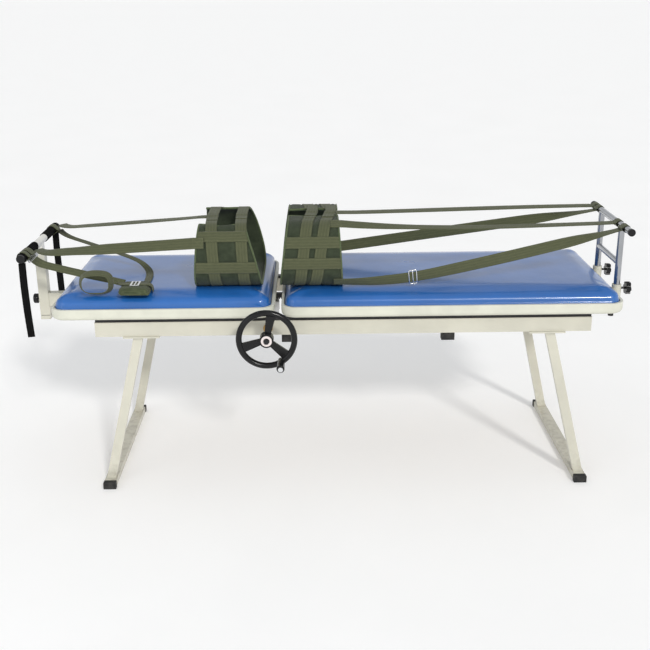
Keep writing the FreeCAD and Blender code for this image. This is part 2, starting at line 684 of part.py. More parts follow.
def mast_slide():
    """Inner mast tube, saddled to the bar that it carries, with the bar's wraps and end caps."""
    inner = box("mast_tube_blank", "inner_wide", "inner_wide", "bar_z - inner_z", "mast_x", "0",
                "inner_z")
    saddle = rod("bar_saddle", "bar_radius", "2 * bar_half", "mast_x", "0 - bar_half", "bar_z",
                 Y_AXIS)
    keep(cut("mast_tube", inner, [saddle]))
    keep(rod("head_bar", "bar_radius", "2 * bar_half", "mast_x", "0 - bar_half", "bar_z", Y_AXIS))
    wraps = []
    caps = []
    for side in SIDES:
        long = "bar_half - wrap_start"
        y = "wrap_start" if side > 0 else "0 - bar_half"
        blank = rod("wrap_blank", "wrap_radius", long, "mast_x", y, "bar_z", Y_AXIS)
        hole = rod("wrap_hole", "bar_radius", f"{long} + 2", "mast_x", f"{y} - 1", "bar_z", Y_AXIS)
        wraps.append(cut("bar_wrap", blank, [hole]))
        y = "bar_half" if side > 0 else "0 - bar_half - bar_cap"
        caps.append(rod("bar_end_cap", "bar_radius + 1", "bar_cap", "mast_x", y, "bar_z", Y_AXIS))
    keep(group("head_bar_wraps", wraps))
    keep(group("head_bar_caps", caps))


def mast_lock():
    face = "mast_x - mast_wide / 2"
    head = rod("lock_head", "lock_radius", "lock_thick", f"{face} - lock_reach - lock_thick", "0",
               "lock_z", X_AXIS)
    rounded = soften("lock_head_round", head, "corner_soft", lambda edge: edge.BoundBox.YLength > 1)
    depth = "(mast_wide - inner_wide) / 2 - slide_gap"
    stud = rod("lock_stud_rod", "lock_stud", f"lock_reach + 1 + {depth}",
               f"{face} - lock_reach - 1", "0", "lock_z", X_AXIS)
    keep(join("mast_lock_knob", [rounded, stud]))


# ---- foot frame ----

def foot_frame():
    """Two uprights and two cross bars of round tube, each end cut to sit on the tube it meets."""
    keep(rod("foot_bar", "foot_tube", "2 * foot_bar_half", "foot_x", "0 - foot_bar_half",
             "foot_bar_z", Y_AXIS))
    uprights = []
    shells = []
    for side in SIDES:
        y = f"{side} * upright_y"
        blank = rod("upright_blank", "foot_tube", "foot_bar_z - upright_z", "foot_x", y, "upright_z")
        top = rod("upright_saddle", "foot_tube", "2 * foot_bar_half", "foot_x", "0 - foot_bar_half",
                  "foot_bar_z", Y_AXIS)
        uprights.append(cut("foot_upright", blank, [top]))
        shells.append(rod("low_bar_saddle", "foot_tube", "foot_bar_z - upright_z", "foot_x", y,
                          "upright_z"))
    low = rod("low_bar_blank", "foot_tube - 1", "2 * upright_y", "foot_x", "0 - upright_y",
              "low_bar_z", Y_AXIS)
    keep(group("foot_ladder", uprights + [cut("foot_low_bar", low, shells)]))
    caps = [rod("foot_bar_cap", "foot_cap", "foot_cap_long", "foot_x", y, "foot_bar_z", Y_AXIS)
            for y in ("foot_bar_half", "0 - foot_bar_half - foot_cap_long")]
    keep(group("foot_bar_caps", caps))


def foot_sockets():
    face = "leg_x + leg_long / 2"
    sockets = []
    for side in SIDES:
        y = f"{side} * upright_y"
        tube = rod("socket_tube", "socket_radius", "socket_high", "foot_x", y, "socket_z")
        reach = f"foot_x - ({face})"
        lug = box("socket_lug_block", reach, "socket_lug", "socket_lug_high",
                  f"({face} + foot_x) / 2", y, "socket_lug_z")
        bore = rod("socket_bore", "foot_tube + running_gap", "socket_high + 2", "foot_x", y,
                   "socket_z - 1")
        hole = rod("socket_stud_hole", "lock_hole", "2 * socket_radius", "foot_x", y, "star_z",
                   X_AXIS)
        sockets.append(cut("foot_socket", join("socket_blank", [tube, lug]), [bore, hole]))
    keep(group("foot_sockets", sockets))


def star_knob(name, side):
    """A six-lobed clamp knob and its stud, whose tip stops just short of the upright."""
    y = f"{side} * upright_y"
    face = "foot_x + socket_radius + star_reach"
    disc = rod(f"{name}_disc", "star_radius", "star_thick", face, y, "star_z", X_AXIS)
    grooves = []
    for i in range(6):
        angle = math.radians(60 * i + 30)
        reach = size("star_radius") + 1
        groove = rod(f"{name}_groove", "star_groove", "star_thick + 2", f"{face} - 1",
                     f"{y} + {reach * math.cos(angle):.4f}",
                     f"star_z + {reach * math.sin(angle):.4f}", X_AXIS)
        grooves.append(groove)
    stud = rod(f"{name}_stud", "lock_stud", "socket_radius - foot_tube + star_reach",
               "foot_x + foot_tube + slide_gap", y, "star_z", X_AXIS)
    keep(join(name, [cut(f"{name}_head", disc, grooves), stud]))


# ---- harness ----

def band(name, x, y, long, wide, high, radius, front_cut, back_cut):
    """A soft oval band round the body, lying on the cushion, shorter along X at its top."""
    body = doc.addObject("PartDesign::Body", f"{name}_ring")
    outer = sketch_on(body, f"{name}_outer", "YZ_Plane")
    rounded_rectangle(outer, wide, high, radius)
    pad(body, f"{name}_pad", outer, long)
    inner = sketch_on(body, f"{name}_inner", "YZ_Plane")
    rounded_rectangle(inner, f"{wide} - 2 * pad_thick", f"{high} - 2 * pad_thick",
                      f"{radius} - pad_thick")
    pocket(body, f"{name}_hollow", inner, long, upward=True)
    rest = "tray_z + tray_high - recess_deep + cushion_high"
    place(body, x, y, f"{rest} + {high} / 2")
    side = doc.addObject("Part::Wedge", f"{name}_side")
    turn(side, X_AXIS, 90)
    bind(side, Xmin="0", Xmax=long, X2min=front_cut, X2max=f"{long} - {back_cut}", Ymin="0",
         Ymax=f"{high} + 0.01", Zmin=f"0 - {wide} / 2", Zmax=f"{wide} / 2", Z2min=f"0 - {wide} / 2",
         Z2max=f"{wide} / 2")
    place(side, x, y, rest)
    whole = doc.addObject("Part::Common", name)
    whole.Base = body
    whole.Tool = side
    return keep(whole)


def buckle(x, y, z):
    """A flat frame with two slots that webbing threads through."""
    blank = box("buckle_blank", "buckle_long", "buckle_wide", "buckle_thick", x, y, z)
    slots = [box("buckle_slot", "buckle_slot_long", "buckle_slot_wide", "buckle_thick + 2",
                 f"{x} + {end} * 0.8 * buckle_slot_long", y, f"{z} - 1") for end in SIDES]
    return cut("ladder_buckle", blank, slots)


def buckles():
    rest = "tray_z + tray_high - recess_deep + cushion_high"
    on_vest = [("vest_x + 51", "vest_y - 30"), ("vest_x + 150", "vest_y - 12")]
    on_head_half = [buckle(x, y, f"{rest} + vest_high + slide_gap") for x, y in on_vest]
    on_head_half.append(buckle("halter_x", "halter_y", f"{rest} + halter_high + slide_gap"))
    keep(group("head_harness_buckles", on_head_half))
    on_belt = [("belt_x + 108", "belt_y - 8"), ("belt_x + 172", "belt_y - 26")]
    keep(group("belt_buckles", [buckle(x, y, f"{rest} + belt_high + slide_gap")
                                for x, y in on_belt]))


def strap(name, start, end, across):
    """A straight run of webbing between two points, with its width nearest to one axis."""
    run = end - start
    normal = run.cross(across)
    turned = FreeCAD.Rotation(run, across, normal, "XZY")
    piece = doc.addObject("Part::Box", name)
    piece.Length = run.Length
    bind(piece, Width="web_wide", Height="web_thick")
    corner = FreeCAD.Vector(0, -size("web_wide") / 2, -size("web_thick") / 2)
    piece.Placement = FreeCAD.Placement(start + turned.multVec(corner), turned)
    return piece


def tail(name, side):
    """The free end of a bar wrap, hanging from the end of the head bar with its face to the side."""
    top = "bar_z - wrap_radius - slide_gap"
    y = f"{side} * (bar_half - tail_inset)"
    return keep(box(name, "tail_wide", "web_thick", "tail_long", "mast_x", y, f"{top} - tail_long"))


def bar_loops(name, x, z, radius, places):
    """Webbing sewn in a loop round a bar, one for each strap."""
    loops = []
    for y in places:
        blank = rod(f"{name}_blank", f"{radius} + loop_thick", "web_wide", x, f"{y} - web_wide / 2",
                    z, Y_AXIS)
        hole = rod(f"{name}_hole", radius, "web_wide + 2", x, f"{y} - web_wide / 2 - 1", z, Y_AXIS)
        loops.append(cut(f"{name}_loop", blank, [hole]))
    keep(group(name, loops))


def bar_straps(node, bar_x, bar_z, runs):
    """Straps from a bar to the harness. Each run has its place along the bar and its height above
    the bar's middle, the point where it ends, and the axis that its width is nearest to."""
    straps = []
    for y, above, end, across in runs:
        straps.append(strap(f"{node}_run", point(bar_x, y, bar_z + above), point(*end), across))
    return straps


def head_straps():
    reach = size("wrap_radius") + size("loop_thick") + 8
    near = size("mast_x") + reach
    bar_z = size("bar_z")
    vest_edge = size("vest_x") - 1
    keep(group("chest_straps", bar_straps("chest", near, bar_z, [
        (186, 8, (vest_edge + 14, -86, 897), Y_AXIS),
        (-168, 0, (vest_edge, -251, 847), Z_AXIS)])))
    across = [strap("halter_drop", point(-698, 38, 715), point(-672, 12, 696), Y_AXIS),
              strap("halter_cross", point(-648, 24, 686), point(-648, -205, 686), X_AXIS)]
    keep(group("halter_straps", across + bar_straps("halter", near, bar_z, [
        (186, -14, (-700, 40, 716), Y_AXIS),
        (-208, -14, (-727, -235, 716), Y_AXIS)])))
    bar_loops("head_bar_loops", "mast_x", "bar_z", "wrap_radius", ("0 - 168", "186"))
    for name, side in (("wrap_tail_front", -1), ("wrap_tail_rear", 1)):
        tail(name, side)


def foot_straps():
    reach = size("foot_tube") + size("loop_thick") + 7
    far = size("foot_x") - reach
    bar_z = size("foot_bar_z")
    belt_edge = size("belt_x") + size("belt_long") + 1
    keep(group("belt_straps", bar_straps("belt", far, bar_z, [
        (-160, -12, (belt_edge, -258, 705), Z_AXIS),
        (152, -12, (belt_edge, 138, 737), Z_AXIS),
        (-84, 4, (belt_edge - 4, -214, 895), Y_AXIS),
        (198, 4, (belt_edge - 4, -86, 905), Y_AXIS)])))
    bar_loops("foot_bar_loops", "foot_x", "foot_bar_z", "foot_tube",
              ("0 - 160", "0 - 84", "152", "198"))


def halter():
    """Folded halter pad on the head cushion and its standing webbing loop."""
    rest = "tray_z + tray_high - recess_deep + cushion_high"
    body, block = slab("halter_pad", "halter_long", "halter_wide", "halter_high", "halter_round")
    round_level(body, "halter_pad_top", block, "corner_soft", size("halter_high"))
    place(body, "halter_x", "halter_y", rest)
    keep(body)
    loop = doc.addObject("PartDesign::Body", "halter_loop")
    outer = sketch_on(loop, "halter_loop_outer", "XZ_Plane")
    rounded_rectangle(outer, "halter_loop_long", "halter_loop_high", "halter_loop_round")
    pad(loop, "halter_loop_pad", outer, "web_wide")
    inner = sketch_on(loop, "halter_loop_inner", "XZ_Plane")
    rounded_rectangle(inner, "halter_loop_long - 2 * loop_thick", "halter_loop_high - 2 * loop_thick",
                      "halter_loop_round - loop_thick")
    pocket(loop, "halter_loop_hollow", inner, "web_wide", upward=True)
    place(loop, "halter_loop_x", "halter_loop_y + web_wide / 2", f"{rest} + halter_loop_high / 2")
    keep(loop)


def check_and_write():
    doc.recompute()
    for thing in doc.Objects:
        if {"Invalid", "Error"} & set(thing.State):
            raise ValueError(f"{thing.Label} failed: {thing.State}")
    os.makedirs("parts", exist_ok=True)
    for piece in nodes:
        if piece.Shape.isNull() or not piece.Shape.isValid() or not piece.Shape.Solids:
            raise ValueError(f"{piece.Label} has no valid solid")
        piece.Shape.exportStep(f"parts/{piece.Label}.step")


rail("front_rail", -1, True)
rail("rear_rail", 1, False)
cross_tubes()
leg_frames()
leg_fasteners()
slide_bearing()
couch_half("head", "head_x", "head_long")
couch_half("leg", "leg_x", "leg_long")
tray_bumpers()
keepers()
pinion()
rack()
drive_shaft()
shaft_supports()
handwheel()
hub_trim()
crank()
mast_socket()
mast_arm()
mast_slide()
mast_lock()
foot_frame()
foot_sockets()
star_knob("star_knob_front", -1)
star_knob("star_knob_rear", 1)
band("chest_vest", "vest_x", "vest_y", "vest_long", "vest_wide", "vest_high", "vest_round",
     "vest_front_cut", "vest_back_cut")
band("pelvic_belt", "belt_x", "belt_y", "belt_long", "belt_wide", "belt_high", "belt_round",
     "belt_front_cut", "belt_back_cut")
buckles()
head_straps()
foot_straps()
halter()
check_and_write()
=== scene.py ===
import math

import bmesh
import bpy
import numpy as np
from mathutils import Matrix, Vector


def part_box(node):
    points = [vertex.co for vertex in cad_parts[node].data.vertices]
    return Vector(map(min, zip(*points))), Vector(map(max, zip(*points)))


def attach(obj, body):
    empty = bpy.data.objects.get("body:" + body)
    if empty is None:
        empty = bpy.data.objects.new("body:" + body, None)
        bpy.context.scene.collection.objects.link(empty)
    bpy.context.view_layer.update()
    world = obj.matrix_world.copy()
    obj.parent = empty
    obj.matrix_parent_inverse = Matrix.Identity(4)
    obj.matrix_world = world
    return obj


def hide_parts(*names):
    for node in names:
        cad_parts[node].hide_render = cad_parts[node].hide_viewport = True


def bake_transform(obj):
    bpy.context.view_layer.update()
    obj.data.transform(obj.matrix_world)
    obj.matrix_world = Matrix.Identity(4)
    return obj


# A manual traction couch: blue cushions on cream trays, a painted frame with a handwheel drive,
# and an olive webbing harness tied between a bar at the head and a bar at the foot.
# Lengths are metres in the CAD frame, except where a name or a comment says millimetres.

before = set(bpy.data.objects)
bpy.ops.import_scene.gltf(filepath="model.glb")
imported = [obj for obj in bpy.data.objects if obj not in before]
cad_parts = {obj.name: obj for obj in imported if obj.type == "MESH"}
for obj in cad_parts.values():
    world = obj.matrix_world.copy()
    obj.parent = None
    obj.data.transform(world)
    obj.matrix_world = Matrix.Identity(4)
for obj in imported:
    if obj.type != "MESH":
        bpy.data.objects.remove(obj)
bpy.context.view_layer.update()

MM = 0.001
COUCH_X, MID_Y = 32.5, 58.8  # the couch's middle in the frame, in millimetres
WEB = 0.038  # width of the harness webbing
WEB_THICK = 0.0018
PAD_THICK = 0.0065
SEAM_PITCH = 0.0042
EDGE_TRIM = 0.002  # how far the tapes stop short of a band's edges
EDGE_DIP = 0.016  # how far the middle of a band's upper edges hangs below their ends


def at(x, y, z):
    """A point given in millimetres from the couch's middle and from the floor."""
    return Vector(((x + COUCH_X) * MM, (y + MID_Y) * MM, z * MM))


HEAD_BAR = at(-1042, 0, 796)
FOOT_BAR = at(970, 0, 859)


# ---- camera ----

def make_camera():
    """Stands in front of the couch at standing height and looks slightly down at it."""
    yaw, pitch, roll = (math.radians(angle) for angle in (0.7, 19.1, 0.5))
    forward = Vector((math.sin(yaw) * math.cos(pitch), math.cos(yaw) * math.cos(pitch),
                      -math.sin(pitch)))
    level = Vector((math.cos(yaw), -math.sin(yaw), 0))
    down = forward.cross(level)
    right = level * math.cos(roll) + down * math.sin(roll)
    up = level * math.sin(roll) - down * math.cos(roll)
    data = bpy.data.cameras.new("camera")
    data.sensor_width = 36
    data.lens = 54.8
    data.shift_y = 0.0108
    camera = bpy.data.objects.new("camera", data)
    turned = Matrix((right, up, -forward)).transposed().to_4x4()
    camera.matrix_world = Matrix.Translation((-0.0503, -3.3431, 1.6252)) @ turned
    bpy.context.scene.collection.objects.link(camera)
    bpy.context.scene.camera = camera


# ---- meshes ----

def new_piece(name, points, faces, look, uvs=None, smooth=True):
    """A mesh piece. uvs holds one pair in metres for each point."""
    mesh = bpy.data.meshes.new(name)
    mesh.from_pydata([tuple(p) for p in points], [], faces)
    mesh.materials.append(look)
    if uvs is not None:
        layer = mesh.uv_layers.new(name="cloth")
        corners = np.zeros(len(mesh.loops), np.int32)
        mesh.loops.foreach_get("vertex_index", corners)
        layer.data.foreach_set("uv", np.asarray(uvs, np.float32)[corners].ravel())
    shell = bmesh.new()
    shell.from_mesh(mesh)
    bmesh.ops.recalc_face_normals(shell, faces=shell.faces)
    shell.to_mesh(mesh)
    shell.free()
    mesh.polygons.foreach_set("use_smooth", [smooth] * len(mesh.polygons))
    piece = bpy.data.objects.new(name, mesh)
    bpy.context.scene.collection.objects.link(piece)
    return piece


def joined(name, pieces):
    """Several pieces of one look as one mesh."""
    whole = pieces[0]
    with bpy.context.temp_override(active_object=whole, selected_editable_objects=pieces):
        bpy.ops.object.join()
    whole.name = name
    whole.data.name = name
    return whole


def applied(piece):
    """Makes the piece's modifiers part of its mesh."""
    shown = piece.evaluated_get(bpy.context.evaluated_depsgraph_get())
    mesh = bpy.data.meshes.new_from_object(shown)
    piece.modifiers.clear()
    piece.data = mesh


def coordinates(mesh):
    flat = np.zeros(len(mesh.vertices) * 3)
    mesh.vertices.foreach_get("co", flat)
    return flat.reshape(-1, 3)


def set_coordinates(mesh, points):
    mesh.vertices.foreach_set("co", points.astype(np.float32).ravel())
    mesh.update()


def unit(vectors):
    return vectors / np.maximum(np.linalg.norm(vectors, axis=-1, keepdims=True), 1e-12)


def smooth_step(value, low, high):
    share = np.clip((value - low) / (high - low), 0, 1)
    return share * share * (3 - 2 * share)


def nurbs_line(points):
    """Points along the smooth curve that has these control points."""
    curve = bpy.data.curves.new("route", "CURVE")
    curve.dimensions = "3D"
    curve.resolution_u = 16
    spline = curve.splines.new("NURBS")
    spline.points.add(len(points) - 1)
    for spot, p in zip(spline.points, points):
        spot.co = (*p, 1)
    spline.order_u = 3
    spline.use_endpoint_u = True
    holder = bpy.data.objects.new("route", curve)
    mesh = bpy.data.meshes.new_from_object(holder)
    line = coordinates(mesh)
    bpy.data.objects.remove(holder)
    bpy.data.curves.remove(curve)
    bpy.data.meshes.remove(mesh)
    return line


def distances(line):
    """How far along the line each of its points is."""
    return np.concatenate([[0], np.cumsum(np.linalg.norm(np.diff(line, axis=0), axis=1))])


def picked(values, along, marks):
    """Values given at the places along a line, read at the marks."""
    return np.stack([np.interp(marks, along, values[:, k]) for k in range(3)], axis=1)


def spaced(line, step):
    """The line again with points about step apart."""
    along = distances(line)
    marks = np.linspace(0, along[-1], max(3, int(along[-1] / step) + 1))
    return picked(line, along, marks)


def strap_line(points, step=0.006):
    return spaced(nurbs_line(points), step)


def heading(line, closed=False):
    """The direction of a line at each of its points."""
    if closed:
        return unit(np.roll(line, -1, axis=0) - np.roll(line, 1, axis=0))
    return unit(np.gradient(line, axis=0))


def squared(sides, ahead):
    """Side directions turned square to the line's own."""
    return unit(sides - (sides * ahead).sum(1)[:, None] * ahead)


def grid_faces(rows, columns, closed_rows=False, closed_columns=False):
    faces = []
    for i in range(rows if closed_rows else rows - 1):
        for j in range(columns if closed_columns else columns - 1):
            i2, j2 = (i + 1) % rows, (j + 1) % columns
            faces.append((i * columns + j, i2 * columns + j, i2 * columns + j2, i * columns + j2))
    return faces


# The outline of a strap's cross-section: across the width, and through the thickness.
WEB_SECTION = np.array([(-0.5, 0), (-0.47, 0.5), (-0.25, 0.5), (0, 0.5), (0.25, 0.5), (0.47, 0.5),
                        (0.5, 0), (0.47, -0.5), (0.25, -0.5), (0, -0.5), (-0.25, -0.5),
                        (-0.47, -0.5)])


def swept(name, line, sides, section, across, look, closed):
    """A skin round a line. section holds its outline in metres along sides and square to them,
    and across the same points' places on the cloth."""
    ahead = heading(line, closed)
    sides = squared(sides, ahead)[:, None]
    normals = np.cross(ahead[:, None], sides)
    points = line[:, None] + section[..., :1] * sides + section[..., 1:] * normals
    rows, columns = points.shape[:2]
    faces = grid_faces(rows, columns, closed, True)
    if not closed:
        faces.append(tuple(range(columns)))
        faces.append(tuple(range((rows - 1) * columns, rows * columns)))
    across = np.broadcast_to(across, (rows, columns))
    uvs = np.stack([np.repeat(distances(line), columns), across.ravel()], axis=1)
    return new_piece(name, points.reshape(-1, 3), faces, look, uvs)


def ribbon(name, line, sides, width, thick, look, closed=False):
    """Webbing along a line. sides holds the direction of its width at each point."""
    sizes = np.full((len(line), 1, 2), thick)
    sizes[:, 0, 0] = width
    section = WEB_SECTION * sizes
    return swept(name, line, sides, section, section[..., 0], look, closed)


def turning(line, degrees):
    """Width directions that turn about a line through the angles given, measured from level
    and spread evenly along it."""
    ahead = heading(line)
    level = unit(np.cross((0, 0, 1), ahead))
    upright = np.cross(ahead, level)
    share = np.linspace(0, len(degrees) - 1, len(line))
    angle = np.full(len(line), float(degrees[0]))
    for k, (before, after) in enumerate(zip(degrees, degrees[1:])):
        angle += (after - before) * smooth_step(share, k, k + 1)
    angle = np.radians(angle)[:, None]
    return level * np.cos(angle) + upright * np.sin(angle)


def tube(name, line, radius, look, sides, closed=False, flat=1.0):
    """A round or flattened cord along a line, such as an edge binding or a wire."""
    angles = np.linspace(0, 2 * np.pi, 8, endpoint=False)
    section = np.stack([np.cos(angles), np.sin(angles) * flat], axis=1) * radius
    return swept(name, line, sides, section, angles * radius, look, closed)


def slab(name, outer, inner, uvs, look):
    """A closed skin between two grids of points of the same shape."""
    rows, columns = outer.shape[:2]
    count = rows * columns
    points = np.concatenate([outer.reshape(-1, 3), inner.reshape(-1, 3)])
    top = grid_faces(rows, columns)
    faces = top + [tuple(count + k for k in reversed(face)) for face in top]
    border = (list(range(columns))
              + [i * columns + columns - 1 for i in range(1, rows)]
              + [(rows - 1) * columns + j for j in range(columns - 2, -1, -1)]
              + [i * columns for i in range(rows - 2, 0, -1)])
    for a, b in zip(border, border[1:] + border[:1]):
        faces.append((a, b, count + b, count + a))
    return new_piece(name, points, faces, look, np.concatenate([uvs.reshape(-1, 2)] * 2))


# The corners of one stitch: along it, across it, and up from the cloth.
STITCH = ((-0.5, 0, 0), (-0.2, -0.5, 0.3), (-0.2, 0.5, 0.3), (0.2, -0.5, 0.3), (0.2, 0.5, 0.3),
          (0.5, 0, 0))


def stitches(name, lines, length=0.003, wide=0.0007):
    """Small raised threads along lines, each line given with its normals."""
    points, faces = [], []
    for line, normals in lines:
        spots = spaced(line, SEAM_PITCH)
        picks = np.linspace(0, len(line) - 1, len(spots)).round().astype(int)
        ahead = heading(spots)
        up = unit(normals[picks])
        side = unit(np.cross(ahead, up))
        for p, f, n, s in zip(spots, ahead, up, side):
            base = len(points)
            for x, y, z in STITCH:
                points.append(p + f * x * length + s * y * wide + n * z * 2 * wide)
            faces += [(base, base + 1, base + 2), (base + 1, base + 3, base + 4, base + 2),
                      (base + 3, base + 5, base + 4)]
    return new_piece(name, points, faces, thread_look)


# ---- looks ----

class Look:
    """A material under construction."""

    def __init__(self, name, **shader):
        self.material = bpy.data.materials.new(name)
        self.material.use_nodes = True
        self.tree = self.material.node_tree
        self.shader = self.tree.nodes["Principled BSDF"]
        for key, value in shader.items():
            self.shader.inputs[key.replace("_", " ")].default_value = value

    def node(self, kind, inputs=(), **settings):
        made = self.tree.nodes.new("ShaderNode" + kind)
        for key, value in settings.items():
            setattr(made, key, value)
        for key, value in dict(inputs).items():
            self.plug(value, made.inputs[key])
        return made

    def plug(self, value, socket):
        if isinstance(value, bpy.types.NodeSocket):
            self.tree.links.new(value, socket)
        elif isinstance(value, tuple) and len(value) == 3 and socket.type == "RGBA":
            socket.default_value = (*value, 1)
        else:
            socket.default_value = value

    def place(self, kind="Object", scale=(1, 1, 1)):
        """Coordinates in metres, from the object's own frame or from the cloth's layout."""
        source = self.node("TexCoord").outputs[kind]
        return self.node("Mapping", {"Vector": source, "Scale": scale}).outputs[0]

    def noise(self, place, scale, detail=3.0, rough=0.55):
        return self.node("TexNoise", {"Vector": place, "Scale": scale, "Detail": detail,
                                      "Roughness": rough}).outputs[0]

    def wave(self, place, pitch, direction="X"):
        """Ribs that repeat every pitch metres."""
        return self.node("TexWave", {"Vector": place, "Scale": math.pi / 10 / pitch},
                         bands_direction=direction, wave_profile="SIN").outputs[1]

    def span(self, value, low, high, to_low=0.0, to_high=1.0):
        return self.node("MapRange", {"Value": value, "From Min": low, "From Max": high,
                                      "To Min": to_low, "To Max": to_high}).outputs[0]

    def voronoi(self, place, scale, output=0, **settings):
        inputs = {"Vector": place, "Scale": scale}
        return self.node("TexVoronoi", inputs, **settings).outputs[output]

    def sum(self, a, b):
        return self.node("Math", {0: a, 1: b}, operation="ADD").outputs[0]

    def times(self, a, b):
        return self.node("Math", {0: a, 1: b}, operation="MULTIPLY").outputs[0]

    def mix(self, share, a, b):
        return self.node("MixRGB", {"Fac": share, "Color1": a, "Color2": b}).outputs[0]

    def bump(self, height, distance, strength=1.0, under=None):
        inputs = {"Height": height, "Distance": distance, "Strength": strength}
        if under is not None:
            inputs["Normal"] = under
        return self.node("Bump", inputs).outputs[0]

    def finish(self, colour, rough, normal):
        self.plug(colour, self.shader.inputs["Base Color"])
        self.plug(rough, self.shader.inputs["Roughness"])
        self.plug(normal, self.shader.inputs["Normal"])
        return self.material


def scaled(colour, by):
    return tuple(min(1.0, c * by) for c in colour)


def paint(name, colour, grime=0.5):
    """Powder coat: a faint orange peel, clouds of tone, scuffs, and grime low on the legs."""
    look = Look(name, Coat_Weight=0.25, Coat_Roughness=0.2)
    place = look.place()
    cloud = look.span(look.noise(place, 7), 0.35, 0.65)
    tone = look.mix(cloud, scaled(colour, 0.93), scaled(colour, 1.03))
    height = look.node("SeparateXYZ", {0: look.place()}).outputs[2]
    low = look.span(height, 0.16, 0.0)
    patchy = look.span(look.noise(place, 45, 5), 0.45, 0.75)
    tone = look.mix(look.times(look.times(low, patchy), grime), tone, (0.2, 0.17, 0.13))
    streaks = look.noise(look.place(scale=(9, 60, 60)), 9, 4)
    scuffs = look.span(streaks, 0.68, 0.74)
    tone = look.mix(look.times(scuffs, 0.35), tone, scaled(colour, 0.62))
    rough = look.span(look.noise(place, 26, 4), 0.3, 0.7, 0.3, 0.46)
    peel = look.bump(look.noise(place, 420, 2), 0.0004, 0.35)
    return look.finish(tone, rough, look.bump(scuffs, -0.0002, 0.4, peel))


def plastic(name, colour, rough_low, rough_high, grain=900, depth=0.0003, dust=0.0, shine=0.5):
    """Moulded plastic with a fine spark-eroded grain and a little dust."""
    look = Look(name, Specular_IOR_Level=shine)
    place = look.place()
    cloud = look.span(look.noise(place, 11, 4), 0.35, 0.7)
    tone = look.mix(cloud, scaled(colour, 0.92), scaled(colour, 1.05))
    motes = look.span(look.noise(place, 140, 6, 0.7), 0.55, 0.8)
    tone = look.mix(look.times(motes, dust), tone, (0.35, 0.34, 0.31))
    rough = look.span(look.noise(place, 30, 4), 0.3, 0.7, rough_low, rough_high)
    return look.finish(tone, rough, look.bump(look.voronoi(place, grain), depth, 0.3))


def vinyl(name, colour):
    """Glossy upholstery vinyl: leather grain, faint wrinkles and finger smears."""
    look = Look(name, Coat_Weight=0.5, Coat_Roughness=0.12)
    place = look.place()
    cloud = look.span(look.noise(place, 4, 4), 0.3, 0.7)
    tone = look.mix(cloud, scaled(colour, 0.86), scaled(colour, 1.08))
    grain = look.node("TexVoronoi", {"Vector": place, "Scale": 520, "Randomness": 0.9}).outputs[0]
    worn = look.span(look.noise(place, 8, 3), 0.5, 0.85)
    tone = look.mix(look.times(worn, 0.10), tone, scaled(colour, 1.5))
    creases = look.span(look.voronoi(place, 38, feature="DISTANCE_TO_EDGE"), 0.0, 0.12)
    rough = look.span(look.noise(place, 5, 3), 0.3, 0.7, 0.26, 0.36)
    waves = look.bump(look.noise(place, 9, 2), 0.006, 0.16)
    dents = look.bump(creases, 0.0003, 0.12, waves)
    return look.finish(tone, rough, look.bump(grain, 0.0003, 0.22, dents))


def webbing(name, dark, light, pitch=0.0013, sheen=0.12, shine=0.2):
    """Flat woven tape: lengthwise ribs crossed by picks, with faint lighter bands and fading."""
    look = Look(name, Sheen_Weight=sheen, Sheen_Roughness=0.45, Specular_IOR_Level=shine)
    cloth = look.place("UV")
    ribs = look.wave(cloth, pitch, "Y")
    picks = look.wave(cloth, pitch * 0.8, "X")
    weave = look.sum(look.times(ribs, 0.65), look.times(picks, 0.35))
    bands = look.times(look.wave(cloth, 0.0095, "Y"), 0.14)
    worn = look.span(look.noise(look.place("UV", (14, 300, 1)), 3, 4), 0.3, 0.75)
    share = look.sum(look.sum(look.times(weave, 0.45), bands), look.times(worn, 0.35))
    tone = look.mix(share, dark, light)
    fuzz = look.noise(look.place(), 900, 3)
    rough = look.span(fuzz, 0.3, 0.7, 0.72, 0.92)
    threads = look.bump(weave, 0.0004, 0.8)
    return look.finish(tone, rough, look.bump(fuzz, 0.0002, 0.25, threads))


def cloth(name, dark, light, layout="UV"):
    """Coarse padded fabric, a plain weave with painted shade darkening its hollows."""
    pitch = 0.0016
    look = Look(name, Sheen_Weight=0.1, Sheen_Roughness=0.5, Specular_IOR_Level=0.15)
    place = look.place(layout)
    weave = look.times(look.wave(place, pitch, "X"), look.wave(place, pitch, "Y"))
    worn = look.span(look.noise(look.place(), 35, 5), 0.3, 0.7)
    share = look.sum(look.times(weave, 0.6), look.times(worn, 0.4))
    # The weave darkens the colour in its hollows: painted shade.
    tone = look.mix(share, dark, light)
    folds = look.bump(look.noise(look.place(), 28, 3), 0.003, 0.3)
    rough = look.span(worn, 0, 1, 0.8, 0.95)
    return look.finish(tone, rough, look.bump(weave, 0.0005, 0.8, folds))


def metal(name, colour, rough_low, rough_high):
    """Bare or plated metal with smears, fine scratches and a few dull specks."""
    look = Look(name, Metallic=1.0)
    place = look.place()
    cloud = look.span(look.noise(place, 16, 5), 0.35, 0.7)
    tone = look.mix(cloud, scaled(colour, 0.88), colour)
    specks = look.span(look.noise(place, 260, 4), 0.68, 0.76)
    tone = look.mix(look.times(specks, 0.35), tone, scaled(colour, 0.35))
    lines = look.noise(look.place(scale=(6, 6, 260)), 8, 3)
    rough = look.span(look.noise(place, 40, 5), 0.3, 0.7, rough_low, rough_high)
    return look.finish(tone, rough, look.bump(lines, 0.0001, 0.12))


def rubber(name, colour):
    look = Look(name, Specular_IOR_Level=0.35)
    place = look.place()
    dust = look.span(look.noise(place, 60, 6), 0.42, 0.75)
    tone = look.mix(look.times(dust, 0.5), colour, (0.09, 0.085, 0.078))
    rough = look.span(dust, 0, 1, 0.62, 0.9)
    return look.finish(tone, rough, look.bump(look.noise(place, 500, 3), 0.0004, 0.4))


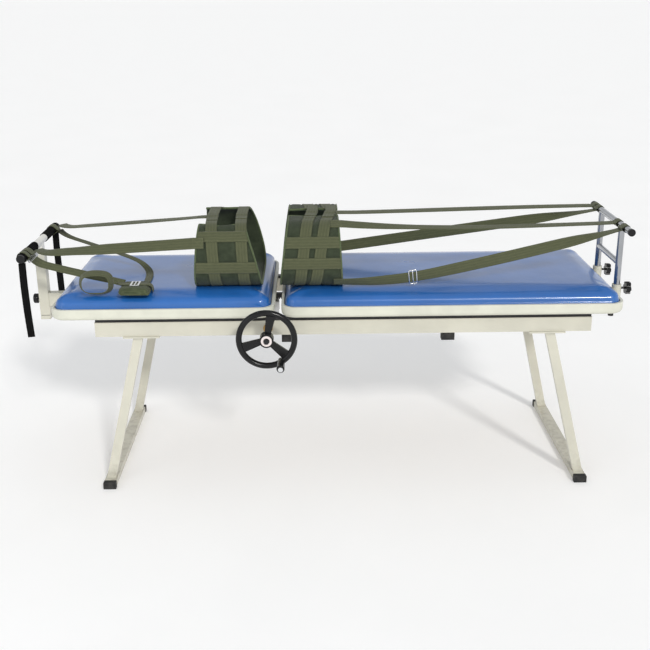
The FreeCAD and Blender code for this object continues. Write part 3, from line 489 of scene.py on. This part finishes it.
def fibreboard(name):
    look = Look(name, Specular_IOR_Level=0.2)
    place = look.place()
    grey = look.node("RGBToBW", {0: look.voronoi(place, 240, 1)}).outputs[0]
    tone = look.mix(grey, (0.2, 0.12, 0.06), (0.42, 0.28, 0.15))
    return look.finish(tone, look.span(grey, 0, 1, 0.8, 0.95), look.bump(grey, 0.0004, 0.5))


def floor_look():
    look = Look("floor", Specular_IOR_Level=0.2, Emission_Strength=0.14)
    place = look.place()
    tone = look.mix(look.span(look.noise(place, 1.5, 4), 0.3, 0.7), (0.87, 0.87, 0.87),
                    (0.9, 0.9, 0.9))
    return look.finish(tone, look.span(look.noise(place, 12), 0.3, 0.7, 0.7, 0.85),
                       look.bump(look.noise(place, 90, 3), 0.0005, 0.2))


CREAM = (0.575, 0.56, 0.472)
recipes = {
    "cream_paint": (paint, CREAM),
    "white_paint": (paint, (0.78, 0.77, 0.72), 0.0),
    "tray_plastic": (plastic, (0.645, 0.645, 0.55), 0.34, 0.5, 1100, 0.0002),
    "black_plastic": (plastic, (0.006, 0.006, 0.0065), 0.16, 0.3, 800, 0.0002, 0.03, 0.3),
    "black_rubber": (rubber, (0.013, 0.013, 0.013)),
    "black_nylon": (plastic, (0.014, 0.014, 0.015), 0.4, 0.6, 600, 0.0003, 0.1),
    "white_plastic": (plastic, (0.80, 0.72, 0.70), 0.25, 0.4),
    "blue_vinyl": (vinyl, (0.014, 0.118, 0.40)),
    "olive_webbing": (webbing, (0.036, 0.043, 0.022), (0.150, 0.160, 0.085)),
    "olive_padding": (cloth, (0.018, 0.026, 0.014), (0.075, 0.092, 0.055)),
    "black_webbing": (webbing, (0.002, 0.002, 0.002), (0.012, 0.012, 0.012), 0.0013, 0.0, 0.06),
    "chrome": (metal, (0.82, 0.83, 0.84), 0.06, 0.2),
    "black_steel": (metal, (0.045, 0.045, 0.048), 0.35, 0.55),
    "steel": (metal, (0.56, 0.56, 0.55), 0.22, 0.42),
    "bronze": (metal, (0.52, 0.33, 0.13), 0.3, 0.45),
    "board": (fibreboard,),
}
looks = {slot: kind(f"{slot}_look", *values) for slot, (kind, *values) in recipes.items()}
olive = looks["olive_webbing"]
binding_look = webbing("binding_look", (0.045, 0.065, 0.028), (0.16, 0.20, 0.10), 0.0011)
halter_look = cloth("halter_look", (0.030, 0.040, 0.018), (0.12, 0.14, 0.075), "Object")
thread_look = plastic("thread_look", (0.19, 0.21, 0.11), 0.7, 0.9, 1500, 0.0001)
# A darker copy of the chrome: a painted darker reflection on the foot frame's bars.
dark_chrome_look = metal("dark_chrome_look", (0.42, 0.43, 0.45), 0.08, 0.2)
# Near-black steel: painted shade on the drive parts seen through the gap between the trays, and the
# hub nut's own dark colour.
greased_look = metal("greased_look", (0.05, 0.05, 0.052), 0.3, 0.5)
node_looks = {"foot_bar": dark_chrome_look, "foot_ladder": dark_chrome_look,
              "drive_rack": greased_look, "drive_pinion": greased_look,
              "drive_shaft": greased_look, "hub_nut": greased_look}


def dress_cad_nodes():
    """Gives each CAD node the finished look of its material slot. The foot frame's chrome is
    darkened, a painted darker reflection than the buckles show, and the drive is near-black as
    painted shade."""
    for name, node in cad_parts.items():
        for slot in node.material_slots:
            slot.material = node_looks.get(name) or looks[slot.material.name]


# ---- light and floor ----

def lamp(name, kind, colour, energy, aim):
    data = bpy.data.lights.new(name, kind)
    data.energy = energy
    data.color = colour
    made = bpy.data.objects.new(name, data)
    made.rotation_mode = "QUATERNION"
    made.rotation_quaternion = Vector(aim).to_track_quat("-Z", "Y")
    bpy.context.scene.collection.objects.link(made)
    return made


def sky():
    """A plain white sky, palest at the horizon."""
    world = bpy.data.worlds.new("world")
    world.use_nodes = True
    nodes, links = world.node_tree.nodes, world.node_tree.links
    height = nodes.new("ShaderNodeSeparateXYZ")
    links.new(nodes.new("ShaderNodeTexCoord").outputs["Generated"], height.inputs[0])
    strength = nodes.new("ShaderNodeMapRange")
    for key, value in (("From Min", 0.03), ("From Max", 0.45), ("To Min", 1.0), ("To Max", 0.62)):
        strength.inputs[key].default_value = value
    links.new(height.outputs[2], strength.inputs["Value"])
    links.new(strength.outputs[0], nodes["Background"].inputs["Strength"])
    nodes["Background"].inputs["Color"].default_value = (0.97, 0.985, 1.0, 1)
    bpy.context.scene.world = world
    bpy.context.scene.view_settings.view_transform = "Standard"


def light_and_floor():
    """A soft sun from behind the camera's right shoulder, a fill from its left, and a floor."""
    sun = lamp("sun", "SUN", (1.0, 0.98, 0.95), 1.55, (-0.37, 1.0, -0.66))
    sun.data.angle = math.radians(7)
    fill_place, fill_target = Vector((-3.2, -3.4, 2.4)), Vector((0.03, 0.05, 0.6))
    fill = lamp("fill", "AREA", (0.95, 0.97, 1.0), 22, fill_target - fill_place)
    fill.location = fill_place
    fill.data.size = 2.5
    sky()
    wide = 400.0
    corners = [(x * wide, y * wide, 0) for x, y in ((-1, -1), (1, -1), (1, 1), (-1, 1))]
    new_piece("floor", corners, [(0, 1, 2, 3)], floor_look(), smooth=False)


# ---- black webbing on the head bar ----

def hanging_tails():
    """The free ends of the bar's wraps hang down from its two ends, limp and slightly bowed."""
    for name, side, drift in (("wrap_tail_front", -1, 6), ("wrap_tail_rear", 1, 3)):
        y = side * 228
        route = [at(-1042, y, 779.5), at(-1043, y - 1, 724), at(-1043, y + 2, 660),
                 at(-1041, y + 1, 590), at(-1042 + drift, y - 3, 522.5)]
        line = strap_line(route, 0.005)
        lean = np.linspace(0.5, 0.05, len(line))
        sides = np.stack([1 + 0 * lean, lean, 0 * lean], axis=1)
        strip = ribbon(f"{name}_strip", line, sides, 0.024, 0.0016, looks["black_webbing"])
        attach(strip, "mast_slide")
        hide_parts(name)


make_camera()
hanging_tails()
light_and_floor()
dress_cad_nodes()


def bar_wraps():
    """Tape wound in overlapping turns round each half of the head bar."""
    start, end, pitch = 62 * MM, 234 * MM, 0.0135
    hug, rise, tuck = 0.0139, 0.0019, 0.0006
    rows, columns = 170, 56
    halves = []
    for side in (-1, 1):
        ys = np.linspace(start, end, rows)
        angles = np.linspace(0, 2 * np.pi, columns, endpoint=False)
        y, angle = np.meshgrid(ys, angles, indexing="ij")
        wind = ((y - start) / pitch + side * angle / (2 * np.pi)) % 1.0
        radius = hug + rise * smooth_step(wind, 0.0, 0.9) - tuck * smooth_step(wind, 0.92, 1)
        edge = np.minimum(y - start, end - y)
        radius = np.where(edge < 0.0008, 0.0131, radius)
        points = np.stack([HEAD_BAR.x + radius * np.cos(angle), HEAD_BAR.y + side * y,
                           HEAD_BAR.z + radius * np.sin(angle)], axis=-1).reshape(-1, 3)
        uvs = np.stack([(angle * 0.015).ravel(), y.ravel()], axis=1)
        faces = grid_faces(rows, columns, False, True)
        halves.append(new_piece("wrap_half", points, faces, looks["black_webbing"], uvs))
    wraps = joined("bar_wraps", halves)
    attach(wraps, "mast_slide")
    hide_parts("head_bar_wraps")


bar_wraps()


# ---- cushions ----

def rounded_outline(half_x, half_y, radius, count=14):
    corners = []
    for cx, cy, first in ((1, 1, 0), (-1, 1, 90), (-1, -1, 180), (1, -1, 270)):
        for k in range(count + 1):
            angle = math.radians(first + 90 * k / count)
            corners.append((cx * (half_x - radius) + radius * math.cos(angle),
                            cy * (half_y - radius) + radius * math.sin(angle)))
    return corners


def edge_distance(x, y, half_x, half_y, radius):
    """How far points lie inside a rounded rectangle's outline."""
    qx = np.abs(x) - (half_x - radius)
    qy = np.abs(y) - (half_y - radius)
    outside = np.hypot(np.maximum(qx, 0), np.maximum(qy, 0))
    return radius - outside - np.minimum(np.maximum(qx, qy), 0)


def inflate(piece, held, cap):
    """Lets cloth swell under pressure from inside. held says which points stay where they are,
    and no point moves further than cap."""
    group = piece.vertex_groups.new(name="held")
    group.add([int(i) for i in np.flatnonzero(held)], 1.0, "REPLACE")
    cloth_modifier = piece.modifiers.new("cloth", "CLOTH")
    settings = cloth_modifier.settings
    settings.quality = 4
    settings.vertex_group_mass = "held"
    settings.use_pressure = True
    settings.uniform_pressure_force = 4.0
    settings.effector_weights.gravity = 0
    settings.tension_stiffness = 12
    settings.compression_stiffness = 12
    before = coordinates(piece.data)
    for number in range(1, 21):
        bpy.context.scene.frame_set(number)
    shown = piece.evaluated_get(bpy.context.evaluated_depsgraph_get())
    moved = coordinates(shown.data) - before
    piece.modifiers.remove(cloth_modifier)
    bpy.context.scene.frame_set(1)
    far = np.linalg.norm(moved, axis=1, keepdims=True)
    set_coordinates(piece.data, before + moved * np.minimum(1, cap / np.maximum(far, 1e-9)))


def remeshed(piece, voxel):
    """Covers the piece with even faces of about the size voxel. Returns its new points."""
    remesh = piece.modifiers.new("remesh", "REMESH")
    remesh.mode = "VOXEL"
    remesh.voxel_size = voxel
    applied(piece)
    return coordinates(piece.data)


def refined(piece):
    """Splits each face in four and shades the piece smoothly."""
    finer = piece.modifiers.new("finer", "SUBSURF")
    finer.levels = 1
    finer.render_levels = 1
    applied(piece)
    piece.data.polygons.foreach_set("use_smooth", [True] * len(piece.data.polygons))


def cushion(name, node, body):
    """A vinyl cushion: flat where it sits in its tray, rounded at its rim, crowned on top."""
    low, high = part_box(node)
    half_x, half_y = (high.x - low.x) / 2, (high.y - low.y) / 2
    radius = 0.040
    middle = (low + high) / 2
    outline = rounded_outline(half_x, half_y, radius)
    count = len(outline)
    levels = (0.0, 0.5, 1.0)
    points = [(middle.x + x, middle.y + y, low.z + level * (high.z - low.z))
              for level in levels for x, y in outline]
    faces = [tuple(range(count - 1, -1, -1))]
    for level in range(len(levels) - 1):
        for k in range(count):
            a, b = level * count + k, level * count + (k + 1) % count
            faces.append((a, b, b + count, a + count))
    faces.append(tuple(range((len(levels) - 1) * count, len(levels) * count)))
    piece = new_piece(name, points, faces, looks["blue_vinyl"])
    spots = remeshed(piece, 0.006)
    x, y = spots[:, 0] - middle.x, spots[:, 1] - middle.y
    inside = np.maximum(edge_distance(x, y, half_x, half_y, radius), 0)
    rim, roundness = 0.046, 2.3
    share = 1 - np.clip(inside / rim, 0, 1)
    dome = (1 - share ** roundness) ** (1 / roundness)
    crown = 0.0035 * smooth_step(inside, 0.02, 0.26)
    full = (high.z - low.z) - 0.0055
    skirt = 0.40
    level = (spots[:, 2] - low.z) / (high.z - low.z)
    height = full * (skirt + (1 - skirt) * dome) + crown - 0.0005
    spots[:, 2] = low.z + np.clip(level, 0, 1) * height
    above = smooth_step(spots[:, 2], low.z + 0.007, low.z + 0.014)
    waist = 0.0018 * (1 - above)
    spots[:, 0] -= np.sign(x) * waist * (np.abs(x) > half_x - radius)
    spots[:, 1] -= np.sign(y) * waist * (np.abs(y) > half_y - radius)
    set_coordinates(piece.data, spots)
    inflate(piece, spots[:, 2] < low.z + 0.009, 0.0055)
    swollen = coordinates(piece.data)
    swollen[:, 2] = np.minimum(swollen[:, 2], high.z + 0.0005 * (swollen[:, 2] - high.z))
    set_coordinates(piece.data, swollen)
    smoother = piece.modifiers.new("smooth", "SMOOTH")
    smoother.factor = 0.5
    smoother.iterations = 4
    refined(piece)
    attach(piece, body)
    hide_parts(node)


cushion("head_cushion_vinyl", "head_cushion", "base")
cushion("leg_cushion_vinyl", "leg_cushion", "leg_section")


# ---- harness bands ----

class Band:
    """An oval padded band that lies along X, with places on it given by s and x.
    s is how far round it is from the middle of its underside, positive up the near side."""

    def __init__(self, node, radius, front_cut, back_cut, bulge):
        self.low, self.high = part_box(node)
        self.radius = radius
        self.cuts = (front_cut, back_cut)
        self.bulge = bulge
        self.flat = (self.high.y - self.low.y) / 2 - radius
        self.side = (self.high.z - self.low.z) / 2 - radius
        self.middle = (self.low + self.high) / 2
        self.half_round = 2 * self.flat + math.pi * radius + 2 * self.side

    def outline(self, s):
        """Y, Z and the outward direction at s, on the band's outer face."""
        s = np.asarray(s, float)
        q = np.abs(s)
        a, b, r = self.flat, self.side, self.radius
        quarter = math.pi * r / 2
        ends = np.cumsum([a, quarter, 2 * b, quarter, a])
        first = np.clip((q - ends[0]) / r, 0, math.pi / 2)
        second = np.clip((q - ends[2]) / r, 0, math.pi / 2)
        cases = [q < ends[0], q < ends[1], q < ends[2], q < ends[3]]
        y = np.select(cases, [-q, -a - r * np.sin(first), -a - r + 0 * q,
                              -a - r * np.cos(second)], -a + (q - ends[3]))
        z = np.select(cases, [-b - r + 0 * q, -b - r * np.cos(first), -b + (q - ends[1]),
                              b + r * np.sin(second)], b + r)
        ny = np.select(cases, [0 * q, -np.sin(first), -1 + 0 * q, -np.cos(second)], 0)
        nz = np.select(cases, [-1 + 0 * q, -np.cos(first), 0 * q, np.sin(second)], 1)
        near = np.where(s < 0, -1.0, 1.0)
        return (self.middle.y + near * y, self.middle.z + z, near * ny, nz)

    def surface(self, s, x, off):
        y, z, ny, nz = self.outline(s)
        return np.stack(np.broadcast_arrays(x, y + off * ny, z + off * nz), axis=-1)

    def normals(self, s):
        _, _, ny, nz = self.outline(s)
        return np.stack([0 * ny, ny, nz], axis=-1)

    def edges(self, s):
        """The band's head and foot ends at s."""
        _, z, _, _ = self.outline(s)
        h = np.clip((z - self.low.z) / (self.high.z - self.low.z), 0, 1)
        curve = h ** self.bulge
        return self.low.x + self.cuts[0] * curve, self.high.x - self.cuts[1] * curve


ACROSS = np.linspace(-0.5, 0.5, 9) * WEB  # places across a tape, from edge to edge
TAPE_LIFT = 0.0004  # how far a tape's middle lies off the band's outer face
INSET, PUFF = 0.0018, 0.0028  # how deep the pad lies under the tapes, and how far it swells


def fold_away(distance):
    """1 well clear of a tape's edge, 0 under the tape."""
    return smooth_step(distance, WEB / 2 - 0.002, WEB / 2 + 0.011)


def band_pad(name, band, gap, around, along):
    """The padded shell: quilted between the tapes, its upper edges apart by twice gap."""
    top = band.half_round - gap
    s = np.linspace(-top, top, 300)
    t = np.linspace(0, 1, 56)
    s_grid, t_grid = np.meshgrid(s, t, indexing="ij")
    left, right = band.edges(s_grid)
    x_grid = left + (right - left) * t_grid
    dip = EDGE_DIP * np.sin(np.pi * t_grid) ** 2 * smooth_step(np.abs(s_grid), top - 0.09, top)
    s_grid = s_grid - np.sign(s_grid) * dip
    clear = np.ones_like(s_grid)
    for centre in around:
        clear = np.minimum(clear, fold_away(np.abs(x_grid - centre(s_grid))))
    for place in along:
        clear = np.minimum(clear, fold_away(np.abs(s_grid - place)))
    edge = np.minimum(x_grid - left, right - x_grid)
    edge = np.minimum(edge, top - np.abs(s_grid))
    thin = smooth_step(edge, 0.0, 0.012)
    off = -INSET + PUFF * clear * thin
    off = np.where(np.abs(s_grid) < band.flat + 0.03, np.minimum(off, -0.0008), off)
    inner = band.surface(s_grid, x_grid, -PAD_THICK * (0.45 + 0.55 * thin))
    uvs = np.stack([s_grid, x_grid], axis=-1)
    return slab(name, band.surface(s_grid, x_grid, off), inner, uvs, looks["olive_padding"])


def band_border(band, gap):
    """A closed line round the edge of a band's pad, with its outward directions."""
    top = band.half_round - gap
    s = np.linspace(-top, top, 300)
    left, right = band.edges(s)
    t = np.linspace(0, 1, 40)[1:-1]
    dip = EDGE_DIP * np.sin(np.pi * t) ** 2
    low_s, high_s = -(top - dip), top - dip
    x_low = left[0] + (right[0] - left[0]) * t
    x_high = left[-1] + (right[-1] - left[-1]) * t
    s_all = np.concatenate([s, high_s, s[::-1], low_s[::-1]])
    x_all = np.concatenate([left, x_high, right[::-1], x_low[::-1]])
    return band.surface(s_all, x_all, -0.003), band.normals(s_all)


def tape(name, band, s, x, lift, uvs, depth=WEB_THICK):
    """Webbing at the places s and x on a band, its middle off the band's face by lift."""
    outer = band.surface(s, x, lift + WEB_THICK / 2)
    inner = band.surface(s, x, lift - depth)
    return slab(name, outer, inner, np.stack(uvs, axis=-1), olive)


def round_tape(name, band, centre, end):
    """Webbing that runs round the band from s = -end to s = end, its middle at x = centre(s)."""
    s, v = np.meshgrid(np.linspace(-end, end, int(2 * end / 0.004)), ACROSS, indexing="ij")
    left, right = band.edges(s)
    x = np.clip(centre(s) + v, left + EDGE_TRIM, right - EDGE_TRIM)
    return tape(name, band, s, x, TAPE_LIFT, (s, v))


def long_tape(name, band, place, around):
    """Webbing that runs along the band at s = place and over the tapes that run round it."""
    t, v = np.meshgrid(np.linspace(0, 1, 48), ACROSS, indexing="ij")
    s = place + v
    left, right = band.edges(s)
    x = left + EDGE_TRIM + (right - left - 2 * EDGE_TRIM) * t
    lift = TAPE_LIFT
    for centre in around:
        lift = lift + 0.0017 * (1 - smooth_step(np.abs(x - centre(s)), WEB / 2 - 0.001,
                                                WEB / 2 + 0.008))
    return tape(name, band, s, x, lift, (x, v))


def tape_seams(band, around, along, top):
    """Stitch lines near both edges of each tape."""
    inset = WEB / 2 - 0.003
    lines = []
    for centre in around:
        for side in (-inset, inset):
            s = np.linspace(-top + 0.006, top - 0.006, 200)
            s = s[np.abs(s) > band.flat + 0.04]
            for half in (s[s < 0], s[s > 0]):
                lines.append((band.surface(half, centre(half) + side, 0.0019), band.normals(half)))
    for place in along:
        if abs(place) < band.flat + 0.04:
            continue
        for side in (-inset, inset):
            left, right = band.edges(place + side)
            x = np.linspace(left + 0.006, right - 0.006, 60)
            s = np.full(60, place + side)
            lines.append((band.surface(s, x, 0.0026), band.normals(s)))
    return lines


def top_strap(name, band, centre, start, end, lift):
    """Webbing over the band's open top, from s start to s end, which may pass the middle."""
    middle = band.half_round
    s, v = np.meshgrid(np.linspace(start, end, 60), ACROSS, indexing="ij")
    wrapped = np.where(s > middle, s - 2 * middle, s)
    x = centre(np.minimum(s, middle)) + v
    return tape(name, band, wrapped, x, lift(s), (s, v), WEB_THICK / 2)


def closing_straps(band, gap, centre, buckle):
    """The strap that closes the band, and its free end folded back over the buckle, whose
    middle is at s = buckle."""
    middle = band.half_round

    def through(s):
        return 0.0016 - 0.0022 * (1 - smooth_step(np.abs(s - buckle), 0.02, 0.05))

    def back_over(s):
        return 0.0035 + 0.0042 * np.exp(-((s - buckle) / 0.02) ** 2)

    return [top_strap("closing", band, centre, middle - gap - 0.05, middle + gap + 0.05, through),
            top_strap("free_end", band, centre, buckle - 0.062, buckle + 0.004, back_over)]


def band_set(name, node, body, band, gap, around, shifts, buckles):
    """A padded band with its grid of sewn tapes, edge binding, stitches and closing straps.
    shifts says how far above the tops of the band's flat sides its long tapes are."""
    top = band.half_round - gap
    shoulder = band.flat + math.pi / 2 * band.radius + band.side
    along = [side * (shoulder + shift) for side in (-1, 1) for shift in shifts]
    pad = band_pad(f"{name}_pad", band, gap, around, along)
    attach(pad, body)
    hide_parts(node)
    border, outward = band_border(band, gap)
    binding = tube(f"{name}_binding", border, 0.0042, binding_look, outward, True, 0.75)
    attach(binding, body)
    tapes = []
    for k, centre in enumerate(around):
        tapes.append(round_tape(f"around_{k}", band, centre, top - 0.004))
    for k, place in enumerate(along):
        tapes.append(long_tape(f"along_{k}", band, place, around))
    for centre, buckle in zip(around, buckles):
        tapes += closing_straps(band, gap, centre, band.half_round - buckle * MM)
    whole = joined(f"{name}_tapes", tapes)
    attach(whole, body)
    sewn = stitches(f"{name}_stitches", tape_seams(band, around, along, top))
    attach(sewn, body)


def slanted(x_top, x_low, band):
    """A tape's middle, which leans from x_low at the underside to x_top at the top."""
    def centre(s):
        share = np.clip(np.abs(s) / band.half_round, 0, 1)
        return x_low + (x_top - x_low) * share
    return centre


def at_x(x):
    return at(x, 0, 0).x


vest = Band("chest_vest", 80 * MM, 17 * MM, 52 * MM, 1.5)
band_set("vest", "chest_vest", "base", vest, 0.130,
         [slanted(at_x(-423), at_x(-397), vest), slanted(at_x(-324), at_x(-303), vest)],
         (-0.028, 0.078), (30, 12))

belt = Band("pelvic_belt", 84 * MM, 28 * MM, 12 * MM, 1.3)
band_set("belt", "pelvic_belt", "leg_section", belt, 0.050,
         [slanted(at_x(-82), at_x(-146), belt), slanted(at_x(-18), at_x(-100), belt)],
         (-0.018, 0.052), (8, 26))


# ---- straps ----

def bar_loop(name, centre, radius, y, reach, width=WEB):
    """Webbing sewn round a bar: it hugs the bar and pinches together where the strap starts."""
    away = 1 if reach > 0 else -1
    angles = np.radians(np.linspace(38, 322, 60))
    hug = radius + WEB_THICK * 0.75
    tip = abs(reach)
    neck = hug + (tip - hug) * 0.45
    outline = ([(away * tip, 0.0012), (away * neck, 0.0035)]
               + [(away * hug * math.cos(a), hug * math.sin(a)) for a in angles]
               + [(away * neck, -0.0035), (away * tip, -0.0012)])
    points = np.array([(centre.x + x, y, centre.z + z) for x, z in outline])
    line = spaced(points, 0.003)
    sides = np.tile((0.0, 1.0, 0.0), (len(line), 1))
    return ribbon(name, line, sides, width, WEB_THICK * 0.8, olive)


def box_stitch(line, sides, first, last, width):
    """Seam lines of a sewn patch on a strap: a rectangle with a cross in it."""
    ahead = heading(line)
    sides = squared(sides, ahead)
    normals = np.cross(ahead, sides)
    along = distances(line)
    half = width / 2 - 0.004
    corners = [(first, -half), (last, -half), (last, half), (first, half)]
    lines = []
    for a, b in ((0, 1), (1, 2), (2, 3), (3, 0), (0, 2), (3, 1)):
        u, v = (np.linspace(*ends, 14) for ends in zip(corners[a], corners[b]))
        spots, side, normal = (picked(values, along, u) for values in (line, sides, normals))
        for face in (-1, 1):
            lines.append((spots + v[:, None] * side + face * normal * WEB_THICK * 0.52,
                          face * normal))
    return lines


def buckle_on(name, line, sides, spot, long=0.026, wide=0.050):
    """A wire buckle with a middle bar, lying on a strap at one of the points of its line."""
    wire = 0.0021
    ahead = Vector(line[spot + 1] - line[spot - 1]).normalized()
    side = Vector(sides[spot]).normalized()
    normal = ahead.cross(side)
    place = Vector(line[spot]) - normal * math.copysign(0.0018, normal.y)
    corners = rounded_outline(long / 2, wide / 2, 0.005, 4)
    ring = np.array([place + ahead * x + side * y for x, y in corners])
    bar = np.array([place + side * y for y in np.linspace(-wide / 2, wide / 2, 6)])
    return joined(name, [
        tube(name, ring, wire, looks["chrome"], np.tile(normal, (len(ring), 1)), True),
        tube(f"{name}_bar", bar, wire * 0.9, looks["chrome"], np.tile(ahead, (len(bar), 1)))])


def harness_strap(name, points, degrees, width=WEB):
    """A strap whose first point is at its bar and whose last is on the harness."""
    line = strap_line(points)
    sides = turning(line, degrees)
    piece = ribbon(name, line, sides, width, WEB_THICK, olive)
    long = distances(line)[-1]
    sewn = box_stitch(line, sides, 0.006, 0.040, width)
    sewn += box_stitch(line, sides, long - 0.036, long - 0.004, width)
    threads = stitches(f"{name}_stitches", sewn)
    for made in (piece, threads):
        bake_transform(made)
    return piece, line, sides


def head_straps():
    near, _, _ = harness_strap("chest_strap_near", [
        HEAD_BAR + Vector((0.022, at(0, -168, 0).y, 0)), at(-985, -172.5, 799),
        at(-900, -185, 806), at(-700, -214, 824), at(-500, -243, 842), at(-470, -250, 845.5),
        at(-438, -253.5, 847)], (6, 30, 54, 58, 67))
    far, _, _ = harness_strap("chest_strap_far", [
        HEAD_BAR + Vector((0.022, at(0, 186, 0).y, 0.006)), at(-985, 170, 808),
        at(-900, 130, 822), at(-700, 36, 854), at(-500, -60, 888), at(-462, -78, 896),
        at(-434, -88, 898)], (6, 9, 4))
    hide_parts("chest_straps")
    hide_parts("chest_straps")
    halter_near, line, sides = harness_strap("halter_strap_near", [
        HEAD_BAR + Vector((0.012, at(0, -208, 0).y, -0.014)), at(-1000, -210, 776),
        at(-930, -215, 758), at(-830, -225, 736), at(-727, -236, 715), at(-707, -240, 711)],
        (40, 42, 34), 0.028)
    halter_far, _, _ = harness_strap("halter_strap_far", [
        HEAD_BAR + Vector((0.012, at(0, 186, 0).y, -0.014)), at(-1000, 178, 777),
        at(-900, 132, 757), at(-760, 67, 728), at(-700, 34, 713), at(-672, 10, 696),
        at(-655, -30, 687.6), at(-648, -110, 686.3), at(-650, -180, 686.4), at(-655, -207, 687)],
        (4, 2), 0.026)
    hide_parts("halter_straps")
    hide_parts("halter_straps")
    slide = buckle_on("halter_strap_buckle", line, sides, 3, 0.022, 0.040)
    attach(slide, "mast_slide")
    loops = [bar_loop("loop", HEAD_BAR, 0.0158, at(0, y, 0).y, 0.026) for y in (-168, 186)]
    loops += [bar_loop("loop", HEAD_BAR, 0.0162, at(0, -208, 0).y, 0.024, 0.026)]
    whole = joined("head_bar_webbing_loops", loops)
    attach(whole, "mast_slide")
    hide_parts("head_bar_loops")


def foot_straps():
    def start(y, above):
        return Vector((FOOT_BAR.x - 0.017, at(0, y, 0).y, FOOT_BAR.z + above * MM))

    near_low, line, sides = harness_strap("belt_strap_near_low", [
        start(-160, -4), at(925, -163, 848), at(800, -179, 823), at(616, -204, 787),
        at(430, -222, 750), at(250, -238, 718), at(120, -246, 709), at(40, -247, 708),
        at(10, -245, 708.5), at(-14, -244, 708)], (0, -60, -84, -102, -134))
    far_low, _, _ = harness_strap("belt_strap_far_low", [
        start(152, -4), at(925, 151, 850), at(800, 148, 834), at(500, 142, 796),
        at(200, 139, 757), at(60, 138.5, 738), at(10, 139, 732), at(-14, 139.6, 731)],
        (0, -74, -84, -64))
    near_high, _, _ = harness_strap("belt_strap_near_high", [
        start(-84, 2), at(925, -87, 860), at(800, -101, 860), at(450, -152, 864),
        at(200, -186, 878), at(60, -206, 891), at(20, -213, 896.5), at(-4, -216, 898),
        at(-24, -217, 898)], (-4, -7, -10, -28))
    far_high, _, _ = harness_strap("belt_strap_far_high", [
        start(198, 2), at(925, 190, 863), at(700, 122, 875), at(496, 61, 884),
        at(200, -29, 897), at(60, -70, 903.5), at(20, -82, 907), at(-6, -88, 908)],
        (-7, -9, -6))
    for piece in (near_low, far_low, near_high, far_high):
        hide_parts("belt_straps")
    loops = [bar_loop("loop", FOOT_BAR, 0.0112, at(0, y, 0).y, -0.021)
             for y in (-160, -84, 152, 198)]
    whole = joined("foot_bar_webbing_loops", loops)
    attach(whole, "foot_frame")
    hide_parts("foot_bar_loops")
    spot = int(np.argmin(np.abs(line[:, 0] - at_x(250))))
    slide = buckle_on("belt_strap_buckle", line, sides, spot)
    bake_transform(slide)


head_straps()
foot_straps()


# ---- halter ----

def halter_pad():
    """A pad folded over once, open at its foot end."""
    low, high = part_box("halter_pad")
    middle = (low + high) / 2
    half_x, half_y = (high.x - low.x) / 2 - 0.003, (high.y - low.y) / 2 - 0.003
    thick = (high.z - low.z) * 0.46
    section = [(x, thick / 2) for x in np.linspace(half_x, -half_x + thick, 14)]
    for k in range(1, 8):
        angle = math.pi * k / 8
        section.append((-half_x + thick - math.sin(angle) * (thick / 2 + 0.001),
                        thick / 2 + (1 - math.cos(angle)) * (thick / 2 + 0.0006)))
    section += [(x, thick * 1.5 + 0.0012) for x in np.linspace(-half_x + thick, half_x - 0.008, 13)]
    section = np.array(section)
    step = heading(section)
    normal = np.stack([step[:, 1], -step[:, 0]], axis=1)
    across = np.linspace(-half_y, half_y, 20)
    depth = thick * 0.42 * (1 - np.clip(np.abs(across) / half_y, 0, 1) ** 6 * 0.45)
    grids = []
    for side in (1, -1):
        x, z = (section[:, k, None] + side * depth * normal[:, k, None] for k in (0, 1))
        y = np.broadcast_to(across, x.shape)
        grids.append(np.stack([middle.x + x, middle.y + y, low.z + z], axis=-1))
    uvs = np.zeros(grids[0].shape[:2] + (2,))
    pad = slab("halter_pad_cloth", grids[0], grids[1], uvs, halter_look)
    spots = remeshed(pad, 0.004)
    inflate(pad, spots[:, 2] < low.z + 0.002, 0.003)
    swollen = coordinates(pad.data)
    swollen[:, 2] = np.clip(swollen[:, 2], low.z + 0.0003, high.z - 0.0005)
    set_coordinates(pad.data, swollen)
    refined(pad)
    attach(pad, "base")
    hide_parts("halter_pad")


def halter_pad_strap():
    """Webbing that goes on from the near halter strap, over the pad and down its foot end."""
    low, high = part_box("halter_pad")
    middle = (low + high) / 2
    top = high.z + 0.0012
    over = [(low.x + 0.004, top), (middle.x - 0.02, top), (middle.x + 0.02, top),
            (high.x - 0.006, top - 0.001), (high.x + 0.003, top - 0.008),
            (high.x + 0.004, low.z + 0.004)]
    line = strap_line([at(-727, -238, 714), at(-712, -246, 712)]
                      + [Vector((x, middle.y, z)) for x, z in over])
    cover = ribbon("halter_pad_strap", line, turning(line, (0, 0)), 0.026, WEB_THICK, olive)
    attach(cover, "base")


def halter_loop():
    """The webbing loop behind the pad, a rounded square that leans to the foot end."""
    low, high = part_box("halter_loop")
    middle = (low + high) / 2
    half_x, half_z = (high.x - low.x) / 2 - 0.002, (high.z - low.z) / 2 - 0.002
    lean, squareness = 0.10, 0.72
    ring = []
    for k in range(72):
        angle = 2 * math.pi * k / 72
        c, s = math.cos(angle), math.sin(angle)
        x = half_x * math.copysign(abs(c) ** squareness, c)
        z = half_z * math.copysign(abs(s) ** squareness, s)
        ring.append((middle.x + x + lean * max(z, 0), middle.y, middle.z + z))
    ring = np.array(ring)
    outward = unit(ring - np.array(middle))
    sides = np.array((0.0, 1.0, 0.0)) + 0.45 * outward
    loop = ribbon("halter_loop_webbing", ring, sides, 0.030, WEB_THICK * 1.2, olive, True)
    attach(loop, "base")
    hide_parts("halter_loop")


halter_pad()
halter_pad_strap()
halter_loop()
